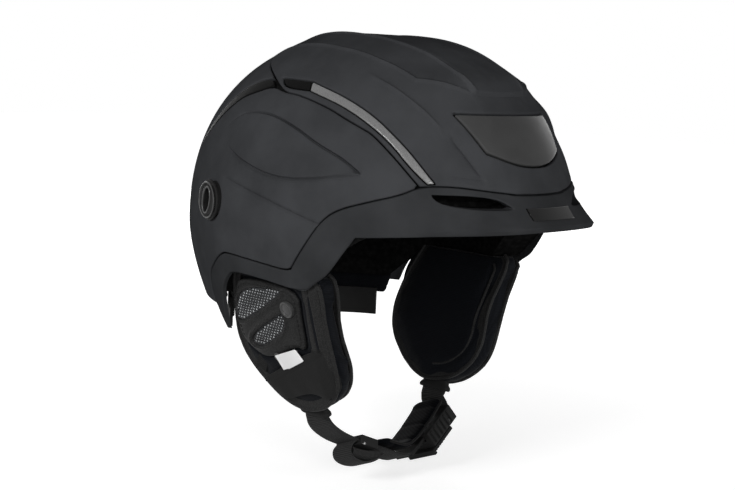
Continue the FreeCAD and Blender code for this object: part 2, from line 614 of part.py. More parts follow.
sleeve = ear_plate(SLEEVE_SHARES, cover_top - FIT - SLEEVE_THICKNESS, SLEEVE_THICKNESS)
snap_y, snap_z = SNAP_SHARES[0] * EAR_DROP, SNAP_SHARES[1] * EAR_DROP
snap = port_bar(SNAP_RADIUS, 0, SNAP_HEIGHT / 2)
snap = snap.fuse(port_bar(SNAP_RADIUS - SNAP_HEIGHT / 2, 0, SNAP_HEIGHT))
snap.translate(V(cover_top - FIT / 3, snap_y, snap_z))
tag = ear_plate(TAG_SHARES, cover_top - FIT - TAG_THICKNESS, TAG_THICKNESS).cut(
    ear_plate(SLEEVE_SHARES, -OVERRUN, 2 * OVERRUN, FIT))
ear_parts = {"ear_pad": ear_pad, "ear_cover": at_ear(cover), "ear_net": at_ear(Part.makeCompound(nets)),
             "ear_sleeve": at_ear(sleeve), "snap_button": at_ear(snap)}
for name, shape in ear_parts.items():
    parts[name + "_right"] = shape
    parts[name + "_left"] = mirrored(shape)
parts["care_tag"] = at_ear(tag)


# Chin strap, in a plane that leans forward from the strap exits below the ear pads
exit_drop = EAR_DROP + GUIDE_HEIGHT + 3 * FIT + STRAP_TURN
chin_x = EAR_X - STRAP_DEPTH * math.cos(lean) - exit_drop * math.sin(lean)
chin_z = EAR_Z + exit_drop * math.cos(lean) - STRAP_DEPTH * math.sin(lean)


def at_chin(shape):
    """Puts a shape made in the upright strap plane (X across, Z up) in its leaning place."""
    leaning = shape.copy()
    leaning.rotate(ORIGIN, X_AXIS, -CHIN_LEAN)
    leaning.translate(V(0, STRAP_Y, -chin_z))
    return leaning


def chin_points(shares):
    return [(x * chin_x, z * CHIN_SAG) for x, z in shares]


def ribbon(points, thickness, width):
    """Band of a given thickness along a line in the XZ plane, width along Y."""
    normals = []
    for (x0, z0), (x1, z1) in zip(points, points[1:]):
        length = math.hypot(x1 - x0, z1 - z0)
        normals.append(((z0 - z1) / length, (x1 - x0) / length))
    sides = ([], [])
    for k, (x, z) in enumerate(points):
        before, after = normals[max(k - 1, 0)], normals[min(k, len(normals) - 1)]
        nx, nz = before[0] + after[0], before[1] + after[1]
        scale = thickness / (nx * nx + nz * nz)
        sides[0].append(V(x + nx * scale, -width / 2, z + nz * scale))
        sides[1].append(V(x - nx * scale, -width / 2, z - nz * scale))
    ring = sides[0] + sides[1][::-1]
    return Part.Face(Part.makePolygon(ring + ring[:1])).extrude(V(0, width, 0))


ear_run = at_ear(box(
    (STRAP_DEPTH - STRAP_THICKNESS / 2, STRAP_Y - STRAP_WIDTH / 2, -exit_drop - STRAP_FOLD),
    (STRAP_DEPTH + STRAP_THICKNESS / 2, STRAP_Y + STRAP_WIDTH / 2, anchor_rise + ANCHOR_HEIGHT)))
anchor_floor = -foam_floor + ANCHOR_HEIGHT
ear_run = ear_run.cut(box((-SHELL_HALF_WIDTH, -SHELL_FRONT, anchor_floor - FIT),
                          (0, SHELL_FRONT, OVERRUN)))
anchor = box((-anchor_x - ANCHOR_WIDTH / 2, STRAP_Y - ANCHOR_LENGTH / 2, anchor_floor),
             (-anchor_x + ANCHOR_WIDTH / 2, STRAP_Y + ANCHOR_LENGTH / 2,
              anchor_floor + ANCHOR_HEIGHT - FIT))
parts["strap_anchor_right"] = anchor
parts["strap_anchor_left"] = mirrored(anchor)

guide_top = -EAR_DROP - FIT
guide_half = STRAP_SLOT / 2 + GUIDE_WALL
guide = box((STRAP_DEPTH - guide_half, STRAP_Y - STRAP_WIDTH / 2 - 2 * FIT - GUIDE_WALL,
             guide_top - GUIDE_HEIGHT),
            (STRAP_DEPTH + guide_half, STRAP_Y + STRAP_WIDTH / 2 + 2 * FIT + GUIDE_WALL, guide_top))
guide = at_ear(guide.cut(strap_slot))
parts["strap_guide_right"] = guide
parts["strap_guide_left"] = mirrored(guide)

# Keeper on the straight run of the right strap
run_start, run_end = chin_points(STRAP_RIGHT_SHARES)[4:6]
run_turn = math.degrees(math.atan2(run_start[1] - run_end[1], run_end[0] - run_start[0]))
keeper_in = (STRAP_THICKNESS / 2 + FIT, STRAP_WIDTH / 2 + FIT)
keeper = box((-KEEPER_LENGTH / 2, -keeper_in[1] - KEEPER_WALL, -keeper_in[0] - KEEPER_WALL),
             (KEEPER_LENGTH / 2, keeper_in[1] + KEEPER_WALL, keeper_in[0] + KEEPER_WALL))
keeper = keeper.cut(box((-OVERRUN, -keeper_in[1], -keeper_in[0]),
                        (OVERRUN, keeper_in[1], keeper_in[0])))
keeper_x = run_start[0] + (run_end[0] - run_start[0]) * KEEPER_SHARE
keeper_z = run_start[1] + (run_end[1] - run_start[1]) * KEEPER_SHARE
keeper.rotate(ORIGIN, Y_AXIS, run_turn)
keeper.translate(V(keeper_x, 0, keeper_z))
parts["strap_keeper"] = at_chin(keeper)

parts["chin_pad"] = at_chin(ribbon(chin_points(CHIN_PAD_SHARES), CHIN_PAD_THICKNESS, CHIN_PAD_WIDTH))


def at_buckle(shape):
    """Puts a shape made along X, with the wearer's skin towards +Z, at the buckle."""
    placed = shape.copy()
    placed.rotate(ORIGIN, Y_AXIS, -BUCKLE_TURN)
    x, z = BUCKLE_PLACE_SHARES
    placed.translate(V(x * chin_x, 0, z * CHIN_SAG))
    return at_chin(placed)


# Ratchet buckle: a channel for the tongue between two ears that carry the lever's pin
half_long, half_wide, half_high = BUCKLE_LENGTH / 2, BUCKLE_WIDTH / 2, BUCKLE_HEIGHT / 2
channel = TONGUE_WIDTH / 2 + FIT
tongue_face = half_high - BUCKLE_WALL - FIT
tooth_face = tongue_face - TONGUE_HEIGHT
pin_z = tooth_face - TOOTH_HEIGHT - FIT - LEVER_BOSS - FIT / 2
housing = box((-half_long, -half_wide, -half_high), (half_long, half_wide, half_high))
housing = housing.makeFillet(BUCKLE_WALL / 2, [e for e in housing.Edges
                                               if abs(e.Length - BUCKLE_LENGTH) < FIT])
housing = housing.cut(box((-OVERRUN, -channel, tooth_face - TOOTH_HEIGHT - FIT),
                          (half_long - BUCKLE_END, channel, tongue_face + FIT)))
housing = housing.cut(box((-half_long + BUCKLE_END, -channel, -OVERRUN),
                          (half_long - BUCKLE_END, channel, 0)))
strap_z = (tongue_face + tooth_face) / 2
housing = housing.cut(box((half_long - BUCKLE_END + FIT, -STRAP_WIDTH / 2 - FIT,
                           strap_z - STRAP_SLOT / 2),
                          (OVERRUN, STRAP_WIDTH / 2 + FIT, strap_z + STRAP_SLOT / 2)))
pin_hole = Part.makeCylinder(LEVER_PIN_RADIUS + SHAFT_RUN, 2 * OVERRUN,
                             V(LEVER_PIN_X, -OVERRUN, pin_z), Y_AXIS)
parts["buckle_housing"] = at_buckle(housing.cut(pin_hole))
parts["lever_pin"] = at_buckle(Part.makeCylinder(
    LEVER_PIN_RADIUS, BUCKLE_WIDTH - 2 * FIT, V(LEVER_PIN_X, -half_wide + FIT, pin_z), Y_AXIS))

tongue_tip = -half_long + TONGUE_IN
outline = [(tongue_tip - TONGUE_LENGTH, tooth_face), (tongue_tip - TONGUE_LENGTH, tongue_face),
           (tongue_tip - TONGUE_HEIGHT, tongue_face), (tongue_tip, strap_z), (tongue_tip, tooth_face)]
for k in range(TOOTH_COUNT):
    x = tongue_tip - TOOTH_PITCH * (k + 1 / 2)
    outline += [(x, tooth_face), (x, tooth_face - TOOTH_HEIGHT), (x - TOOTH_PITCH / 2, tooth_face)]
tongue = prism(outline, lambda x, z: V(x, -TONGUE_WIDTH / 2, z), V(0, TONGUE_WIDTH, 0))
parts["ratchet_tongue"] = at_buckle(tongue)

lever_top = -half_high - FIT
lever = box((-half_long - LEVER_OVERHANG, -half_wide + FIT, lever_top - LEVER_PLATE),
            (LEVER_PIN_X - LEVER_OVERHANG, half_wide - FIT, lever_top))
web_face = tooth_face - TOOTH_HEIGHT - 4 * FIT
web = box((PAWL_X - PAWL_LENGTH, -channel + FIT * 2, lever_top - LEVER_PLATE / 2),
          (LEVER_PIN_X, channel - FIT * 2, web_face))
pawl = prism([(PAWL_X, web_face), (PAWL_X - PAWL_LENGTH, web_face),
              (PAWL_X - PAWL_LENGTH, tooth_face - TOOTH_HEIGHT - FIT)],
             lambda x, z: V(x, -channel + FIT * 2, z), V(0, 2 * (channel - 2 * FIT), 0))
boss = Part.makeCylinder(LEVER_BOSS, 2 * (channel - 2 * FIT),
                         V(LEVER_PIN_X, -channel + FIT * 2, pin_z), Y_AXIS)
lip_size = LEVER_OVERHANG + LEVER_PLATE
lip = box((-half_long - LEVER_OVERHANG - LEVER_PLATE, -half_wide + FIT, lever_top - lip_size),
          (-half_long - LEVER_OVERHANG, half_wide - FIT, lever_top))
lever = lever.fuse([web, pawl, boss, lip])
parts["release_lever"] = at_buckle(lever.cut(pin_hole))

# Right strap, from the anchor down and over the tongue's tail, and left strap, from the buckle's
# end slot up into the left ear pad
turn = math.radians(BUCKLE_TURN)
buckle_x, buckle_z = BUCKLE_PLACE_SHARES[0] * chin_x, BUCKLE_PLACE_SHARES[1] * CHIN_SAG


def buckle_line(along, lift):
    """Point of the strap plane from lengths along and across the buckle."""
    return (buckle_x + along * math.cos(turn) - lift * math.sin(turn),
            buckle_z + along * math.sin(turn) + lift * math.cos(turn))


tail_lift = tongue_face + FIT / 6 + STRAP_THICKNESS / 2
tail_start = tongue_tip - TONGUE_LENGTH
right_line = chin_points(STRAP_RIGHT_SHARES) + [buckle_line(tail_start - STRAP_THICKNESS, tail_lift),
                                                buckle_line(tail_start + TONGUE_OVERLAP, tail_lift)]
strap_right = at_chin(ribbon(right_line, STRAP_THICKNESS, STRAP_WIDTH))
parts["strap_right"] = ear_run.fuse(strap_right)
left_line = [buckle_line(half_long - BUCKLE_END + 2 * FIT, strap_z),
             buckle_line(half_long + FIT, strap_z)] + chin_points(STRAP_LEFT_SHARES)
strap_left = at_chin(ribbon(left_line, STRAP_THICKNESS, STRAP_WIDTH))
parts["strap_left"] = mirrored(ear_run).fuse(strap_left)


def nape_sector(inner_radius, outer_radius, low, high, start, end):
    """Part of a ring about the fit system's upright axis, angles from the back towards the right."""
    base = V(0, FIT_CENTRE_Y, low)
    start_way = 90 + start
    whole = Part.makeCylinder(outer_radius, high - low, base, Z_AXIS, end - start)
    whole = whole.cut(Part.makeCylinder(inner_radius, high - low, base, Z_AXIS, 360))
    whole.rotate(base, Z_AXIS, start_way)
    return whole


# Fit system: two bands whose toothed tails run over and under one pinion
tooth_pitch = 2 * math.pi * PINION_RADIUS / PINION_TEETH
tooth_turn = math.degrees(tooth_pitch / FIT_RADIUS)
tail_low = FIT_Z + PINION_RADIUS + GEAR_DEDENDUM
band_in, band_out = FIT_RADIUS - BAND_THICKNESS / 2, FIT_RADIUS + BAND_THICKNESS / 2
tail_end = -2 * tooth_turn
tail = nape_sector(band_in, band_out, tail_low, tail_low + BAND_TAIL_HEIGHT, tail_end, BAND_ARM_START)
arm = nape_sector(band_in, band_out, FIT_Z - BAND_ARM_HEIGHT / 2, tail_low + BAND_TAIL_HEIGHT,
                  BAND_ARM_START, BAND_ARM_END)
band = tail.fuse(arm)
rack_tooth = [(-tooth_pitch / 4 + GEAR_BACKLASH / 2 - GEAR_ADDENDUM / 3, tail_low + FIT),
              (-tooth_pitch / 8 + GEAR_BACKLASH / 2, FIT_Z + PINION_RADIUS - GEAR_ADDENDUM),
              (tooth_pitch / 8 - GEAR_BACKLASH / 2, FIT_Z + PINION_RADIUS - GEAR_ADDENDUM),
              (tooth_pitch / 4 - GEAR_BACKLASH / 2 + GEAR_ADDENDUM / 3, tail_low + FIT)]
for k in range(TAIL_TEETH):
    tooth = prism(rack_tooth, lambda x, z: V(x, FIT_CENTRE_Y + band_in + FIT / 2, z),
                  V(0, BAND_THICKNESS - FIT, 0))
    tooth.rotate(V(0, FIT_CENTRE_Y, 0), Z_AXIS, tooth_turn * (k - 1 / 2))
    band = band.fuse(tooth)
parts["fit_band_right"] = band
other_band = band.copy()
other_band.rotate(V(0, FIT_CENTRE_Y, FIT_Z), Y_AXIS, 180)
parts["fit_band_left"] = other_band

pinion_outline = []
for k in range(PINION_TEETH):
    for radius, width in ((PINION_RADIUS - GEAR_DEDENDUM, -1 / 3), (PINION_RADIUS, -1 / 4),
                          (PINION_RADIUS + GEAR_ADDENDUM, -1 / 8), (PINION_RADIUS + GEAR_ADDENDUM, 1 / 8),
                          (PINION_RADIUS, 1 / 4), (PINION_RADIUS - GEAR_DEDENDUM, 1 / 3)):
        slim = GEAR_BACKLASH / 2 / tooth_pitch
        share = k + width - math.copysign(slim, width)
        angle = 2 * math.pi * share / PINION_TEETH + math.pi / 2
        pinion_outline.append((radius * math.cos(angle), FIT_Z + radius * math.sin(angle)))
dial_y = FIT_CENTRE_Y + FIT_RADIUS
shaft_hole = Part.makeCylinder(DIAL_SHAFT_RADIUS + SHAFT_RUN, OVERRUN,
                               V(0, dial_y - OVERRUN / 2, FIT_Z), Y_AXIS)
pinion = prism(pinion_outline, lambda x, z: V(x, dial_y - PINION_WIDTH / 2, z), V(0, PINION_WIDTH, 0))
parts["dial_pinion"] = pinion.cut(shaft_hole)

housing_top = -roll_top - FIT
channel_half = PINION_RADIUS + GEAR_DEDENDUM + BAND_TAIL_HEIGHT + 2 * FIT
housing_low = 2 * FIT_Z - housing_top
sector_turn = math.degrees(math.asin(HOUSING_HALF_WIDTH / FIT_RADIUS))
tray_in = dial_y - PINION_WIDTH / 2 - FIT - FIT_CENTRE_Y
tray_out = dial_y + PINION_WIDTH / 2 + FIT - FIT_CENTRE_Y
tray = nape_sector(tray_in - HOUSING_WALL, tray_out, housing_low, housing_top, -sector_turn, sector_turn)
tray = tray.cut(nape_sector(tray_in, tray_out + FIT, FIT_Z - channel_half, FIT_Z + channel_half,
                            -2 * sector_turn, 2 * sector_turn))
parts["dial_housing"] = tray
cover = nape_sector(tray_out, tray_out + HOUSING_WALL, housing_low, housing_top, -sector_turn, sector_turn)
parts["dial_cover"] = cover.cut(shaft_hole)

knob_low = FIT_CENTRE_Y + tray_out + HOUSING_WALL + FIT
grips = []
for k in range(DIAL_GRIPS * 2):
    angle = math.pi * k / DIAL_GRIPS
    radius = DIAL_RADIUS if k % 2 == 0 else DIAL_RADIUS - GEAR_ADDENDUM
    for way in (-1 / 4, 1 / 4):
        turned_by = angle + way * math.pi / DIAL_GRIPS
        grips.append((radius * math.cos(turned_by), FIT_Z + radius * math.sin(turned_by)))
knob = prism(grips, lambda x, z: V(x, knob_low, z), V(0, DIAL_THICKNESS, 0))
shaft = Part.makeCylinder(DIAL_SHAFT_RADIUS, knob_low - dial_y + PINION_WIDTH / 2,
                          V(0, dial_y - PINION_WIDTH / 2, FIT_Z), Y_AXIS)
parts["fit_dial"] = knob.fuse(shaft)
hanger = pad_top.common(box((-HANGER_HALF_WIDTH, 0, housing_top),
                            (HANGER_HALF_WIDTH, SHELL_REAR, -HANGER_TOP)))
parts["dial_hanger"] = hanger.cut(dome(FIT + HANGER_THICKNESS, **cavity_size))
pad_out = tray_in - HOUSING_WALL - FIT
parts["nape_pad"] = nape_sector(pad_out - NAPE_PAD_THICKNESS, pad_out, housing_low - HOUSING_WALL,
                                housing_top + HOUSING_WALL, -sector_turn * 5 / 4, sector_turn * 5 / 4)


def at_clip(shape):
    """Puts a shape made about the clip's pin line (outwards is +Y) on the back of the shell."""
    placed = shape.copy()
    placed.rotate(ORIGIN, X_AXIS, -CLIP_LEAN)
    share = 1 - TUCK_SHARE * (abs(CLIP_Z) / SHELL_HEIGHT) ** TUCK_POWER
    placed.translate(V(0, SHELL_REAR * share, CLIP_Z))
    return placed


# Goggle clip: base plate with two ears, pin, and an arm with a lip that keeps the strap in
half_clip = CLIP_WIDTH / 2
ear_in = half_clip * 2 / 3
pin_y = CLIP_BASE + CLIP_GAP * 3 / 4
ear_radius = CLIP_PIN_RADIUS + CLIP_ARM / 2
base = box((-half_clip, -CLIP_LENGTH, -CLIP_LENGTH), (half_clip, CLIP_BASE, ear_radius))
for side in (-1, 1):
    low, high = sorted((side * ear_in, side * half_clip))
    base = base.fuse(Part.makeCylinder(ear_radius, high - low, V(low, pin_y, 0), X_AXIS))
    base = base.fuse(box((low, 0, -ear_radius), (high, pin_y, ear_radius)))
clip_hole = Part.makeCylinder(CLIP_PIN_RADIUS + SHAFT_RUN, CLIP_WIDTH * 2, V(-CLIP_WIDTH, pin_y, 0), X_AXIS)
parts["clip_base"] = at_clip(base.cut(clip_hole)).cut(dome(-FIT))
parts["clip_pin"] = at_clip(Part.makeCylinder(CLIP_PIN_RADIUS, CLIP_WIDTH - 2 * FIT,
                                              V(-half_clip + FIT, pin_y, 0), X_AXIS))
arm_in = CLIP_BASE + CLIP_GAP
arm_top = -ear_radius - 3 * FIT
arm = box((-half_clip, arm_in, -CLIP_LENGTH), (half_clip, arm_in + CLIP_ARM, arm_top))
arm = arm.fuse(box((-half_clip, CLIP_BASE + 3 * FIT, -CLIP_LENGTH),
                   (half_clip, arm_in, -CLIP_LENGTH + CLIP_LIP)))
arm = arm.fuse(box((-ear_in + FIT, pin_y, arm_top - FIT), (ear_in - FIT, arm_in + CLIP_ARM, 0)))
arm = arm.fuse(Part.makeCylinder(ear_radius, 2 * (ear_in - FIT), V(-ear_in + FIT, pin_y, 0), X_AXIS))
parts["clip_arm"] = at_clip(arm.cut(clip_hole))

os.makedirs("parts", exist_ok=True)
for name, shape in parts.items():
    shape.exportStep("parts/" + name + ".step")
    state = "ok" if shape.isValid() and len(shape.Solids) > 0 else "BAD"
    print(name, state, len(shape.Solids), round(shape.Volume))
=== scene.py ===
import json
import math

import bpy
import bmesh
import numpy as np
from mathutils import Matrix, Vector


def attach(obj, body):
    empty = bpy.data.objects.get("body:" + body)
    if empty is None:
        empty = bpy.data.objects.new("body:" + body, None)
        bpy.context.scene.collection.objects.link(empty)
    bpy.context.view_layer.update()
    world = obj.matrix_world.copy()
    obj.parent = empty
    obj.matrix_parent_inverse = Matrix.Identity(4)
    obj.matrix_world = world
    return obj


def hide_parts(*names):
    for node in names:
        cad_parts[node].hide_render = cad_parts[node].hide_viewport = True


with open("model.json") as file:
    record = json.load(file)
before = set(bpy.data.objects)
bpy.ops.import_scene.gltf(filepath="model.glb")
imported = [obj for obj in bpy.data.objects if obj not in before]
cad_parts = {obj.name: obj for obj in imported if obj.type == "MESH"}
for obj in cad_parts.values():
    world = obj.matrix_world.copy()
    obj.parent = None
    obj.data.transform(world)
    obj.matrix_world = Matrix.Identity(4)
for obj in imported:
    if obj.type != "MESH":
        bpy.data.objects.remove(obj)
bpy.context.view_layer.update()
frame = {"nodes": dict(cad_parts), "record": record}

# The ski helmet's looks. Lengths are in millimetres and turn into metres when a mesh is made.
MM = 0.001

# Shell form, the same as the solids'
SHELL_FRONT = 140.0
SHELL_REAR = 137.0
SHELL_HALF_WIDTH = 108.0
SHELL_HEIGHT = 121.0
SHELL_WALL = 2.4
FRONT_POWER = 2.1
REAR_POWER = 1.8
PROFILE_POWER = 2.2
TUCK_SHARE = 0.44
TUCK_POWER = 1.6
SEAM = 0.8
FIT = 0.3
PANEL_GAP = 1.2
STRIPE_DEPTH = 1.3
PORT_Y = 36.0
PORT_Z = 16.0
PORT_TURN = 15.8
PORT_BARREL = 11.0
BRIM_RADIUS = 151.0
BRIM_SIDE = 116.4
BRIM_SIDE_ANGLE = 60.0
BRIM_TOP = 34.0
BRIM_LIP = 3.5
BRIM_BEVEL = 1.5
BRIM_LOW = 5.0
BRIM_TEMPLE = 77.0
BRIM_RISE_SHARE = 0.091

# Softening of the plan's and the tuck's power curves, as shares
EGG_SOFT = 0.12
TUCK_SOFT = 0.10

# Grid of the skins
GRID_COLUMNS = 420
GRID_STEP = 1.9
CORNER_TURN = 42.0
EDGE_RADIUS = 0.9

# Seams of the shell in side view, as shares of its front length and its height
BROW_SEAM = [(-1.214, 0.264), (-0.971, 0.264), (-0.936, 0.281), (-0.836, 0.306), (-0.743, 0.298)]
CROWN_SEAM = [
    (-0.650, 0.413), (-0.536, 0.521), (-0.471, 0.554), (-0.400, 0.587), (-0.314, 0.628),
    (-0.214, 0.661), (-0.114, 0.686), (-0.029, 0.694)]
REAR_TOP_SEAM = [(0.136, 0.777), (0.286, 0.835), (0.500, 0.950), (0.500, 1.322)]
STRIPE_SEAM = [
    (0.057, 0.719), (0.179, 0.678), (0.257, 0.653), (0.350, 0.587), (0.400, 0.545),
    (0.557, 0.405), (0.629, 0.331)]
STRIPE_REAR_SEAM = [(0.543, 0.463), (0.407, 0.620), (0.300, 0.694), (0.186, 0.744)]
REAR_SEAM = [(0.750, 0.083), (0.843, -0.248), (0.871, -0.430)]
TEMPLE_SEAM = [
    (-0.693, 0.256), (-0.586, 0.215), (-0.464, 0.165), (-0.400, 0.099), (-0.336, -0.017),
    (-0.264, -0.140), (-0.229, -0.149), (-0.093, -0.132), (0.107, -0.116), (0.171, -0.124),
    (0.264, -0.198), (0.321, -0.256), (0.350, -0.347)]
TEMPLE_EDGE = [
    (-0.300, -0.248), (-0.329, -0.240), (-0.364, -0.207), (-0.421, -0.165), (-0.457, -0.116),
    (-0.507, -0.033), (-0.550, 0.041)]

# Outlines of the shell's pieces in side view
CROWN_SHARES = BROW_SEAM + CROWN_SEAM + [(0.050, 0.736)] + REAR_TOP_SEAM + [(-1.214, 1.322)]
REAR_SHARES = ([(0.100, 0.756)] + REAR_TOP_SEAM + [(1.143, 1.322), (1.143, -0.430)] + REAR_SEAM[::-1]
               + STRIPE_SEAM[-1:] + STRIPE_REAR_SEAM)
REAR_STRIPE_SHARES = STRIPE_SEAM + STRIPE_REAR_SEAM + [(0.100, 0.752)]
SIDE_SHARES = BROW_SEAM[-1:] + CROWN_SEAM + STRIPE_SEAM + REAR_SEAM + [(0.357, -0.430)] + TEMPLE_SEAM[::-1]
LOWER_SHARES = BROW_SEAM + TEMPLE_SEAM + [
    (0.336, -0.471), (0.293, -0.570), (0.264, -0.479), (0.236, -0.388), (0.207, -0.306),
    (0.143, -0.240), (0.093, -0.207), (-0.093, -0.215), (-0.250, -0.240)] + TEMPLE_EDGE + [(-1.214, 0.112)]
STRIPE_SHARES = [
    (-0.143, 0.752), (-0.336, 0.694), (-0.500, 0.612), (-0.621, 0.512), (-0.700, 0.430),
    (-0.786, 0.314), (-0.764, 0.310), (-0.693, 0.388), (-0.607, 0.488), (-0.486, 0.579),
    (-0.343, 0.653), (-0.164, 0.707)]
STRIPE_END_SHARES = [(-0.143, 0.752), (0.036, 0.760), (-0.014, 0.715), (-0.164, 0.707)]
PETAL_TOP = [
    (0.214, 0.562), (0.121, 0.587), (-0.021, 0.587), (-0.179, 0.537), (-0.321, 0.463),
    (-0.450, 0.405), (-0.536, 0.339)]
PETAL_FOOT = [(-0.214, 0.273), (0.093, 0.355), (0.321, 0.463)]

# Front-view outlines, as shares of the half width and the height
PANEL_SHARES = [(-0.380, 0.632), (-0.306, 0.463), (-0.120, 0.401), (0.120, 0.401),
                (0.306, 0.463), (0.380, 0.632)]
VENT_SHARES = [(-0.611, 0.264), (-0.463, 0.264), (-0.324, 0.252), (-0.241, 0.207),
               (-0.444, 0.205), (-0.583, 0.221)]

# Camera, fitted to the photograph: angles in degrees, distance in metres
CAMERA_AZIMUTH = -45.94
CAMERA_ELEVATION = 6.79
CAMERA_ROLL = 2.55
CAMERA_DISTANCE = 0.8999
CAMERA_LENS = 68.21
CAMERA_SHIFT = (-0.00365, -0.02945)
FLOOR_Z = -0.1625


def reset_scene():
    scene = bpy.context.scene
    for old in [o for o in bpy.data.objects if o.type in ("CAMERA", "LIGHT")]:
        bpy.data.objects.remove(old)
    scene.view_settings.view_transform = "Standard"
    return scene


scene = reset_scene()


def add_camera():
    azimuth, elevation = math.radians(CAMERA_AZIMUTH), math.radians(CAMERA_ELEVATION)
    roll = math.radians(CAMERA_ROLL)
    back = Vector((math.sin(azimuth) * math.cos(elevation), -math.cos(azimuth) * math.cos(elevation),
                   math.sin(elevation)))
    level = (-back).cross(Vector((0, 0, 1))).normalized()
    upright = level.cross(-back)
    right = level * math.cos(roll) + upright * math.sin(roll)
    up = upright * math.cos(roll) - level * math.sin(roll)
    data = bpy.data.cameras.new("camera")
    data.lens = CAMERA_LENS
    data.shift_x, data.shift_y = CAMERA_SHIFT
    camera = bpy.data.objects.new("camera", data)
    camera.matrix_world = Matrix((
        (right.x, up.x, back.x, back.x * CAMERA_DISTANCE),
        (right.y, up.y, back.y, back.y * CAMERA_DISTANCE),
        (right.z, up.z, back.z, back.z * CAMERA_DISTANCE),
        (0, 0, 0, 1)))
    scene.collection.objects.link(camera)
    scene.camera = camera
    return camera


add_camera()


# Materials

def new_material(name):
    material = bpy.data.materials.new(name)
    material.use_nodes = True
    tree = material.node_tree
    return material, tree, tree.nodes["Principled BSDF"]


def place_coordinates(tree):
    return tree.nodes.new("ShaderNodeTexCoord").outputs["Object"]


def noise(tree, vector, scale, detail=3.0, roughness=0.5):
    node = tree.nodes.new("ShaderNodeTexNoise")
    node.inputs["Scale"].default_value = scale
    node.inputs["Detail"].default_value = detail
    node.inputs["Roughness"].default_value = roughness
    tree.links.new(vector, node.inputs["Vector"])
    return node.outputs["Fac"]


def voronoi(tree, vector, scale, feature):
    node = tree.nodes.new("ShaderNodeTexVoronoi")
    node.feature = feature
    node.inputs["Scale"].default_value = scale
    tree.links.new(vector, node.inputs["Vector"])
    return node.outputs["Distance"]


def wave(tree, vector, scale, direction="X", distortion=0.0):
    node = tree.nodes.new("ShaderNodeTexWave")
    node.bands_direction = direction
    node.inputs["Scale"].default_value = scale
    node.inputs["Distortion"].default_value = distortion
    tree.links.new(vector, node.inputs["Vector"])
    return node.outputs["Fac"]


def ramp(tree, value, stops):
    node = tree.nodes.new("ShaderNodeValToRGB")
    elements = node.color_ramp.elements
    while len(elements) < len(stops):
        elements.new(0.5)
    for element, (place, colour) in zip(elements, stops):
        element.position = place
        element.color = (*colour, 1) if len(colour) == 3 else colour
    tree.links.new(value, node.inputs["Fac"])
    return node.outputs["Color"]


def math_node(tree, kind, a, b):
    node = tree.nodes.new("ShaderNodeMath")
    node.operation = kind
    for socket, value in zip(node.inputs, (a, b)):
        if isinstance(value, (int, float)):
            socket.default_value = value
        else:
            tree.links.new(value, socket)
    return node.outputs["Value"]


def span(tree, value, low, high):
    """Maps a 0 to 1 value onto low to high."""
    node = tree.nodes.new("ShaderNodeMapRange")
    node.inputs["To Min"].default_value = low
    node.inputs["To Max"].default_value = high
    tree.links.new(value, node.inputs["Value"])
    return node.outputs["Result"]


def bump(tree, shader, heights):
    """Chains bump nodes: heights is a list of (value, distance in metres, strength)."""
    last = None
    for value, distance, strength in heights:
        node = tree.nodes.new("ShaderNodeBump")
        node.inputs["Distance"].default_value = distance
        node.inputs["Strength"].default_value = strength
        tree.links.new(value, node.inputs["Height"])
        if last is not None:
            tree.links.new(last, node.inputs["Normal"])
        last = node.outputs["Normal"]
    tree.links.new(last, shader.inputs["Normal"])


def grey(value, tint=(1.0, 1.0, 1.0)):
    return tuple(value * t for t in tint)


CLOTH_SPECULAR = 0.02


def product(tree, a, b):
    return math_node(tree, "MULTIPLY", a, b)


def mix(tree, *parts):
    """The sum of (value, share) pairs."""
    total = None
    for value, share in parts:
        scaled = product(tree, value, share)
        total = scaled if total is None else math_node(tree, "ADD", total, scaled)
    return total


def around_colour(colour, spread):
    """A darker and a lighter colour, as far from the given one as its spread says."""
    return tuple(c * (1 - spread) for c in colour), tuple(c * (1 + spread) for c in colour)


def plastic(name, colour, spread, roughness, grain, grain_depth, specular):
    """Moulded or lacquered plastic with a fine grain, faint mottling and uneven gloss."""
    material, tree, shader = new_material(name)
    place = place_coordinates(tree)
    mottle = noise(tree, place, 38.0, 4.0)
    dark, light = around_colour(colour, spread)
    tree.links.new(ramp(tree, mottle, [(0.35, dark), (0.65, light)]), shader.inputs["Base Color"])
    gloss = noise(tree, place, 120.0, 5.0)
    tree.links.new(span(tree, gloss, roughness * 0.85, roughness * 1.15), shader.inputs["Roughness"])
    shader.inputs["Specular IOR Level"].default_value = specular
    bump(tree, shader, [(noise(tree, place, grain, 2.0), grain_depth, 0.5),
                        (noise(tree, place, 26.0, 1.0), 0.0006, 0.12)])
    return material


def cloth_weave(name, colour, spread, scale, depth, sheen, roughness):
    """Woven or knitted fabric: two crossing sets of threads with fuzz between them."""
    material, tree, shader = new_material(name)
    place = place_coordinates(tree)
    threads = product(tree, wave(tree, place, scale, "Y", 0.6), wave(tree, place, scale, "Z", 0.6))
    fuzz = noise(tree, place, scale * 4, 3.0)
    mixed = mix(tree, (threads, 0.7), (fuzz, 0.3))
    dark, light = around_colour(colour, spread)
    tree.links.new(ramp(tree, mixed, [(0.15, dark), (0.75, light)]), shader.inputs["Base Color"])
    shader.inputs["Roughness"].default_value = roughness
    shader.inputs["Specular IOR Level"].default_value = CLOTH_SPECULAR
    shader.inputs["Sheen Weight"].default_value = sheen
    shader.inputs["Sheen Roughness"].default_value = 0.45
    bump(tree, shader, [(mixed, depth, 0.8), (noise(tree, place, 60.0, 2.0), 0.0012, 0.25)])
    return material


